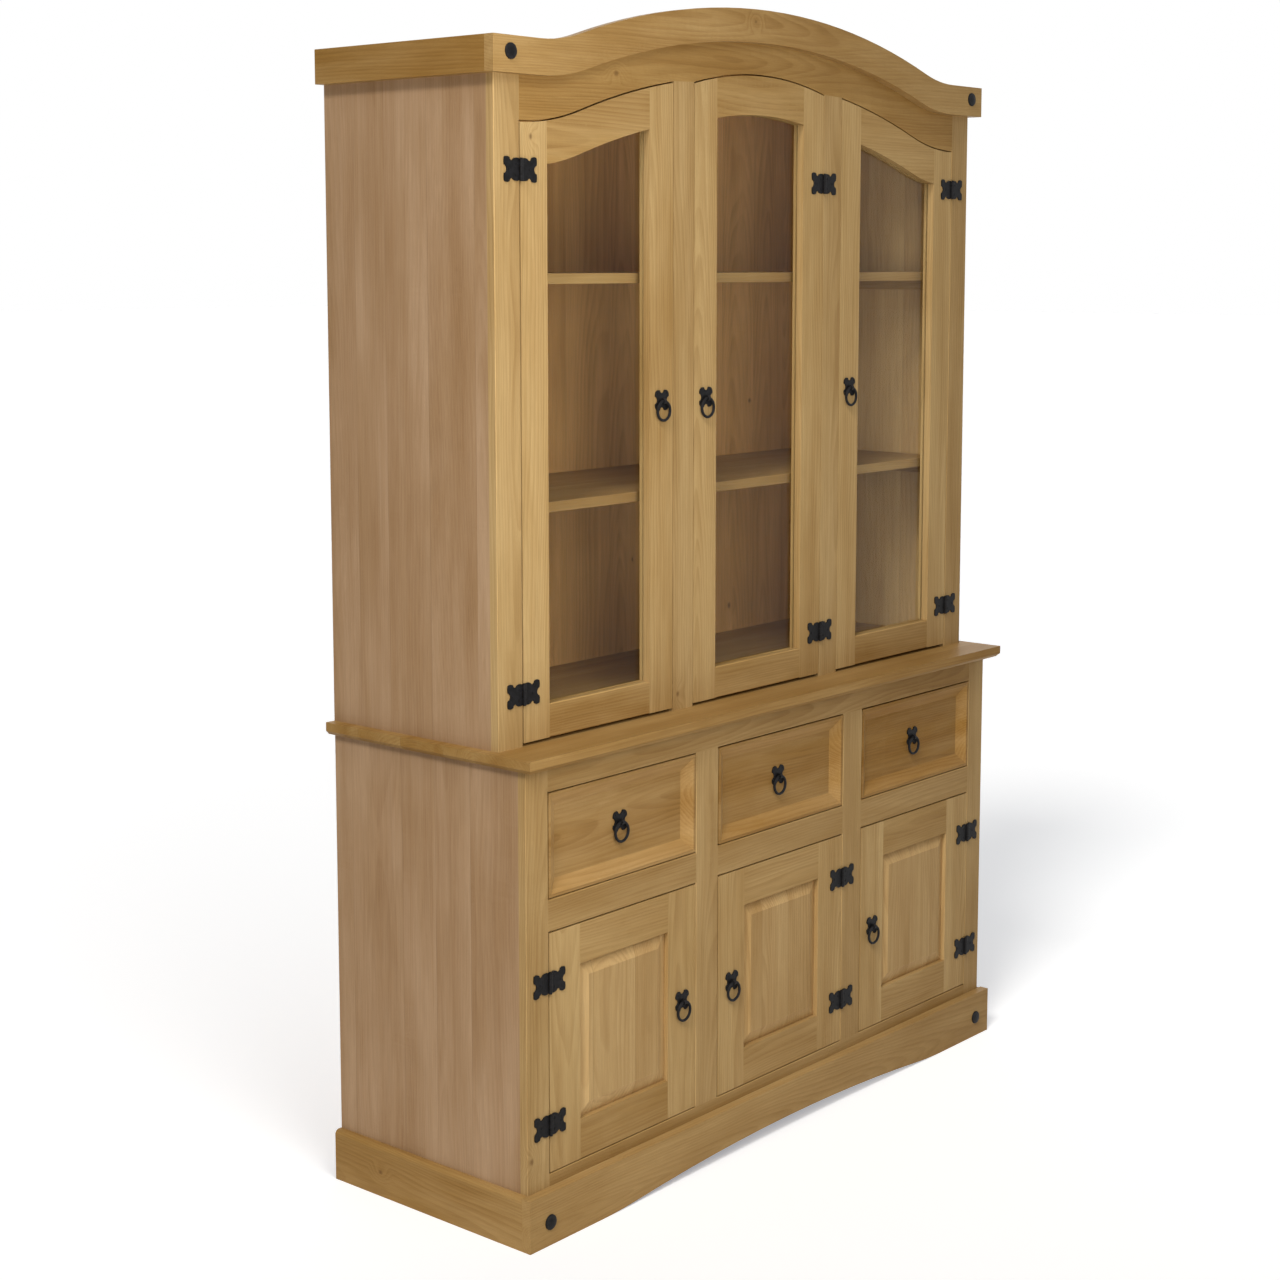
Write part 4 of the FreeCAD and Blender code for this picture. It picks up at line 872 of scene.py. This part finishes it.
def screw_tree():
    """Slotted screw heads on the points of a mesh, turned at random about their own axis."""
    tree, given = group(
        "GeometryNodeTree", "Slotted screws",
        [("Points", "Geometry", None), ("Head radius", "Float", 0.002), ("Head height", "Float", 0.0007),
         ("Slot width", "Float", 0.0006), ("Turn seed", "Int", 7), ("Finish", "Material", None)],
        [("Screws", "Geometry")])
    radius, height = given["Head radius"], given["Head height"]
    ball = put(tree, "GeometryNodeMeshUVSphere", {"Segments": 14, "Rings": 8, "Radius": 1.0})
    dome = put(tree, "GeometryNodeTransform", {
        "Geometry": ball.outputs["Mesh"], "Scale": joined(tree, radius, radius, height)})
    blade = put(tree, "GeometryNodeMeshCube", {"Size": joined(tree, radius * 3.0, given["Slot width"], height)})
    blade = put(tree, "GeometryNodeTransform", {
        "Geometry": blade.outputs["Mesh"], "Translation": joined(tree, 0.0, 0.0, height)})
    head = put(tree, "GeometryNodeMeshBoolean", {"Mesh 1": dome.outputs[0], "Mesh 2": blade.outputs[0]},
               operation="DIFFERENCE")
    # The fourth input is the greatest turn, when the value is a single number
    turn = put(tree, "FunctionNodeRandomValue", {3: math.pi, "Seed": given["Turn seed"]}, data_type="FLOAT")
    spread = put(tree, "GeometryNodeInstanceOnPoints", {
        "Points": given["Points"], "Instance": head.outputs[0],
        "Rotation": joined(tree, math.pi / 2, turn.outputs[1])})
    real = put(tree, "GeometryNodeRealizeInstances", {0: spread.outputs[0]})
    flat = put(tree, "GeometryNodeSetShadeSmooth", {"Geometry": real.outputs[0], "Shade Smooth": False})
    coat = put(tree, "GeometryNodeSetMaterial", {"Geometry": flat.outputs[0], "Material": given["Finish"]})
    put(tree, "NodeGroupOutput", {0: coat.outputs[0]})
    return tree


def driven(name, body, points, radius, height, slot_width):
    """Heads at points of one body, as a plain mesh that rides on it."""
    tree = shared("Slotted screws", screw_tree)
    mesh = bpy.data.meshes.new(f"{name}_points")
    mesh.from_pydata(points, [], [])
    piece = linked(name, mesh)
    modifier = piece.modifiers.new("Screws", "NODES")
    modifier.node_group = tree
    values = {"Head radius": radius, "Head height": height, "Slot width": slot_width,
              "Turn seed": bpy.context.scene.hutch_iron.turn_seed, "Finish": iron()}
    for item in tree.interface.items_tree:
        if item.item_type == "SOCKET" and item.in_out == "INPUT" and item.name in values:
            modifier[item.identifier] = values[item.name]
    graph = bpy.context.evaluated_depsgraph_get()
    made = bpy.data.meshes.new_from_object(piece.evaluated_get(graph), depsgraph=graph)
    piece.modifiers.clear()
    piece.data = made
    bpy.data.meshes.remove(mesh)
    if not made.polygons:
        raise RuntimeError(f"{name} has no heads")
    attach(piece, body)
    return piece


def hinge_line(board):
    """Where the hinge stands that a solid is a leaf of, or None for the plate of a pull."""
    def gap(line):
        return min(abs(board.low[0] - line), abs(board.high[0] - line))

    line = min(HINGE_LINES, key=gap)
    narrow, wide = LEAF_WIDTHS
    return line if narrow < board.high[0] - board.low[0] < wide and gap(line) <= LEAF_GAP else None


# Stage

def seen_directly(tree):
    """1 for rays of the camera, and for rays mirrored or passed by a clear surface."""
    rays = carried(put(tree, "ShaderNodeLightPath"))
    return rays["Is Camera Ray"].by("MAXIMUM", rays["Is Glossy Ray"].by("MAXIMUM", rays["Is Transmission Ray"]))


def stand_camera(settings):
    """The camera, where the photograph was taken from."""
    data = bpy.data.cameras.new("camera")
    data.lens = settings.lens
    data.sensor_width = 36
    data.shift_y = -settings.lens_drop
    data.clip_end = 200
    camera = linked("camera", data)
    camera.location = settings.camera_place
    camera.rotation_euler = (math.pi / 2 - settings.camera_tilt, 0, -settings.camera_turn)
    bpy.context.scene.camera = camera


def hang_sun(name, direction, strength, spread, colour):
    """A distant light. Gives back what an open floor gets from it."""
    towards = Vector(direction).normalized()
    light = bpy.data.lights.new(name, "SUN")
    light.energy = strength
    light.angle = spread
    light.color = colour
    linked(name, light).rotation_euler = towards.to_track_quat("Z", "Y").to_euler()
    return Vector(colour) * strength * towards.z / math.pi


def hang_lamp(name, place, power, colour, radius):
    """A round lamp that isn't seen itself, also not in the panes."""
    light = bpy.data.lights.new(name, "POINT")
    light.energy = power
    light.shadow_soft_size = radius
    light.color = colour
    lamp = linked(name, light)
    lamp.location = place
    lamp.visible_camera = False
    lamp.visible_glossy = False


def floor_finish(settings, even, lamps):
    """A floor that glows just enough for the camera to see it white wherever no shadow falls."""
    material, tree, shader, out = fresh_material("studio floor")
    fill(shader, {"Base Color": (*settings.floor_colour, 1), "Roughness": 0.9, "Specular IOR Level": 0.0})
    place = put(tree, "ShaderNodeTexCoord").outputs["Object"]
    lit = even
    for spot, power, colour in lamps:
        # Light falls with the square of the way from the lamp, and with the slant at which it meets the floor
        way = put(tree, "ShaderNodeVectorMath", {0: place, 1: spot}, operation="DISTANCE").outputs["Value"]
        fall = maths(tree, "DIVIDE", power / (2 * math.pi) ** 2 * spot[2], Value(way).by("POWER", 3.0))
        lit = vector_maths(tree, "MULTIPLY_ADD", fall, colour, lit)
    white = (settings.floor_white,) * 3
    lack = vector_maths(tree, "MULTIPLY_ADD", lit, -Vector(settings.floor_colour), white)
    lack = vector_maths(tree, "MAXIMUM", lack, (0, 0, 0))
    glow = put(tree, "ShaderNodeEmission", {0: lack, 1: seen_directly(tree)})
    both = put(tree, "ShaderNodeAddShader", {0: shader.outputs[0], 1: glow.outputs[0]})
    fill(out, {"Surface": both.outputs[0]})
    return material


def studio_world(settings):
    """Soft light from all round, and white where the camera looks past the floor."""
    world = bpy.data.worlds.new("studio")
    world.use_nodes = True
    tree = world.node_tree
    tree.nodes.clear()
    soft = put(tree, "ShaderNodeBackground", {0: (*settings.sky_colour, 1), 1: settings.sky_strength})
    white = put(tree, "ShaderNodeBackground", {0: (1, 1, 1, 1), 1: 1.0})
    both = put(tree, "ShaderNodeMixShader", {0: seen_directly(tree), 1: soft.outputs[0], 2: white.outputs[0]})
    put(tree, "ShaderNodeOutputWorld", {0: both.outputs[0]})
    return world


# Operators

class DressWood:
    """Dresses a list of wooden nodes."""

    bl_options = {"REGISTER"}

    def dress(self, context, nodes, share=1.0):
        settings = context.scene.hutch_pine
        for node in nodes:
            strip = settings.strip_width if node in GLUED_UP else LONE_BOARD
            finish = pine(OWN_FINISH.get(node, SLOT_OF[node]))
            dressed(node, f"{node}_wood", finish, settings.eased_edge * share, strip)


class HUTCH_OT_sides(DressWood, bpy.types.Operator):
    """Dresses the sides of both halves, glued up from upright strips"""

    bl_idname = "hutch.sides"
    bl_label = "Sides"

    def execute(self, context):
        self.dress(context, SIDES)
        return {"FINISHED"}


class HUTCH_OT_carcass(DressWood, bpy.types.Operator):
    """Dresses the backs, bottoms, shelves and runners"""

    bl_idname = "hutch.carcass"
    bl_label = "Carcass and shelves"

    def execute(self, context):
        self.dress(context, CARCASS, INSIDE_EASE)
        return {"FINISHED"}


class HUTCH_OT_face_frames(DressWood, bpy.types.Operator):
    """Dresses the stiles and rails of both halves and the frieze"""

    bl_idname = "hutch.face_frames"
    bl_label = "Face frames"

    def execute(self, context):
        self.dress(context, FACE_FRAMES)
        return {"FINISHED"}


class HUTCH_OT_trim(DressWood, bpy.types.Operator):
    """Dresses the plinth, the worktop and the cornice"""

    bl_idname = "hutch.trim"
    bl_label = "Plinth, worktop and cornice"

    def execute(self, context):
        self.dress(context, TRIM, TRIM_EASE)
        return {"FINISHED"}


class HUTCH_OT_drawers(DressWood, bpy.types.Operator):
    """Dresses the drawer fronts and boxes"""

    bl_idname = "hutch.drawers"
    bl_label = "Drawers"

    def execute(self, context):
        self.dress(context, [f"{bay}_drawer_front" for bay in BAYS])
        self.dress(context, [f"{bay}_drawer_box" for bay in BAYS], INSIDE_EASE)
        return {"FINISHED"}


class HUTCH_OT_panel_doors(DressWood, bpy.types.Operator):
    """Dresses the frames and raised panels of the lower doors"""

    bl_idname = "hutch.panel_doors"
    bl_label = "Panelled doors"

    def execute(self, context):
        self.dress(context, [f"{bay}_lower_door_frame" for bay in BAYS])
        self.dress(context, [f"{bay}_lower_door_panel" for bay in BAYS])
        return {"FINISHED"}


class HUTCH_OT_glazed_doors(DressWood, bpy.types.Operator):
    """Dresses the frames and the panes of the glazed doors"""

    bl_idname = "hutch.glazed_doors"
    bl_label = "Glazed doors"

    def execute(self, context):
        self.dress(context, [f"{bay}_glazed_door_frame" for bay in BAYS])
        for bay in BAYS:
            node = f"{bay}_glazed_door_pane"
            dressed(node, f"{node}_glass", glass(), PANE_EDGE)
        return {"FINISHED"}


class HUTCH_OT_ironwork(bpy.types.Operator):
    """Dresses the hinges, pulls, rings and studs"""

    bl_idname = "hutch.ironwork"
    bl_label = "Ironwork"

    def execute(self, context):
        for node, slot in SLOT_OF.items():
            if slot == "iron":
                dressed(node, f"{node}_iron", iron(), context.scene.hutch_iron.eased_edge)
        return {"FINISHED"}


class HUTCH_OT_screws(bpy.types.Operator):
    """Drives slotted screws into the hinge leaves and nails into the pull plates"""

    bl_idname = "hutch.screws"
    bl_label = "Screws and nails"

    def execute(self, context):
        screws, nails = {}, {}
        for node, slot in SLOT_OF.items():
            if slot != "iron" or not node.endswith(("_leaves", "_ironwork", "_pull")):
                continue
            for board in SOLIDS[node]:
                x, _, z = board.middle
                line = None if node.endswith("_pull") else hinge_line(board)
                if line is None:
                    front = board.high[1] - PLATE_THICKNESS
                    spots = [(x + out, front, z + up) for out, up in NAIL_SPOTS]
                    nails.setdefault(BODY_OF[node], []).extend(spots)
                else:
                    front = board.high[1] - LEAF_THICKNESS
                    spots = [(line + math.copysign(out, x - line), front, z + up) for out, up in SCREW_SPOTS]
                    screws.setdefault(BODY_OF[node], []).extend(spots)
        settings = context.scene.hutch_iron
        for body, points in screws.items():
            radius = settings.screw_radius
            driven(f"{body}_screws", body, points, radius, radius * SCREW_DOME, SCREW_SLOT)
        for body, points in nails.items():
            radius = settings.nail_radius
            driven(f"{body}_nails", body, points, radius, radius * NAIL_DOME, NAIL_SLOT)
        return {"FINISHED"}


class HUTCH_OT_stage(bpy.types.Operator):
    """Sets the camera, the white floor and the lights"""

    bl_idname = "hutch.stage"
    bl_label = "Stage"

    def execute(self, context):
        settings = context.scene.hutch_stage
        context.scene.view_settings.view_transform = "Standard"
        stand_camera(settings)
        reach = settings.floor_reach
        mesh = bpy.data.meshes.new("floor")
        mesh.from_pydata([(-reach, -reach, 0), (reach, -reach, 0), (reach, reach, 0), (-reach, reach, 0)], [],
                         [(0, 1, 2, 3)])
        floor = linked("floor", mesh)
        even = Vector(settings.sky_colour) * settings.sky_strength
        even += hang_sun("key", settings.key_direction, settings.key_strength, settings.key_spread,
                         settings.key_colour)
        even += hang_sun("fill", settings.fill_direction, settings.fill_strength, settings.fill_spread, (1, 1, 1))
        lamps = {"high_lamp": (settings.high_lamp_place, settings.high_lamp_power, settings.high_lamp_colour),
                 "low_lamp": (settings.low_lamp_place, settings.low_lamp_power, settings.low_lamp_colour)}
        for name, (place, power, colour) in lamps.items():
            hang_lamp(name, place, power, colour, settings.lamp_radius)
        mesh.materials.append(floor_finish(settings, even, lamps.values()))
        context.scene.world = studio_world(settings)
        return {"FINISHED"}


class HUTCH_PT_finish(bpy.types.Panel):
    """Lists the steps that dress the buffet and hutch, and their settings"""

    bl_idname = "HUTCH_PT_finish"
    bl_label = "Buffet and hutch"
    bl_space_type = "VIEW_3D"
    bl_region_type = "UI"
    bl_category = "Hutch"

    def draw(self, context):
        for step in STEPS:
            self.layout.operator(step.bl_idname)
        for title in ("Pine", "Iron", "Glass", "Stage"):
            settings = getattr(context.scene, f"hutch_{title.lower()}")
            box = self.layout.box()
            box.label(text=title)
            for name in settings.__annotations__:
                box.prop(settings, name)


GROUPS = {"hutch_pine": PineSettings, "hutch_iron": IronSettings, "hutch_glass": GlassSettings,
          "hutch_stage": StageSettings}
STEPS = (HUTCH_OT_stage, HUTCH_OT_sides, HUTCH_OT_carcass, HUTCH_OT_face_frames, HUTCH_OT_trim, HUTCH_OT_drawers,
         HUTCH_OT_panel_doors, HUTCH_OT_glazed_doors, HUTCH_OT_ironwork, HUTCH_OT_screws)
CLASSES = (*GROUPS.values(), *STEPS, HUTCH_PT_finish)


def register():
    for entry in CLASSES:
        bpy.utils.register_class(entry)
    for name, settings in GROUPS.items():
        setattr(bpy.types.Scene, name, PointerProperty(type=settings))


def unregister():
    for name in GROUPS:
        delattr(bpy.types.Scene, name)
    for entry in reversed(CLASSES):
        bpy.utils.unregister_class(entry)


def main():
    register()
    bpy.ops.hutch.stage()
    bpy.ops.hutch.sides()
    bpy.ops.hutch.carcass()
    bpy.ops.hutch.face_frames()
    bpy.ops.hutch.trim()
    bpy.ops.hutch.drawers()
    bpy.ops.hutch.panel_doors()
    bpy.ops.hutch.glazed_doors()
    bpy.ops.hutch.ironwork()
    bpy.ops.hutch.screws()


if __name__ == "__main__":
    main()
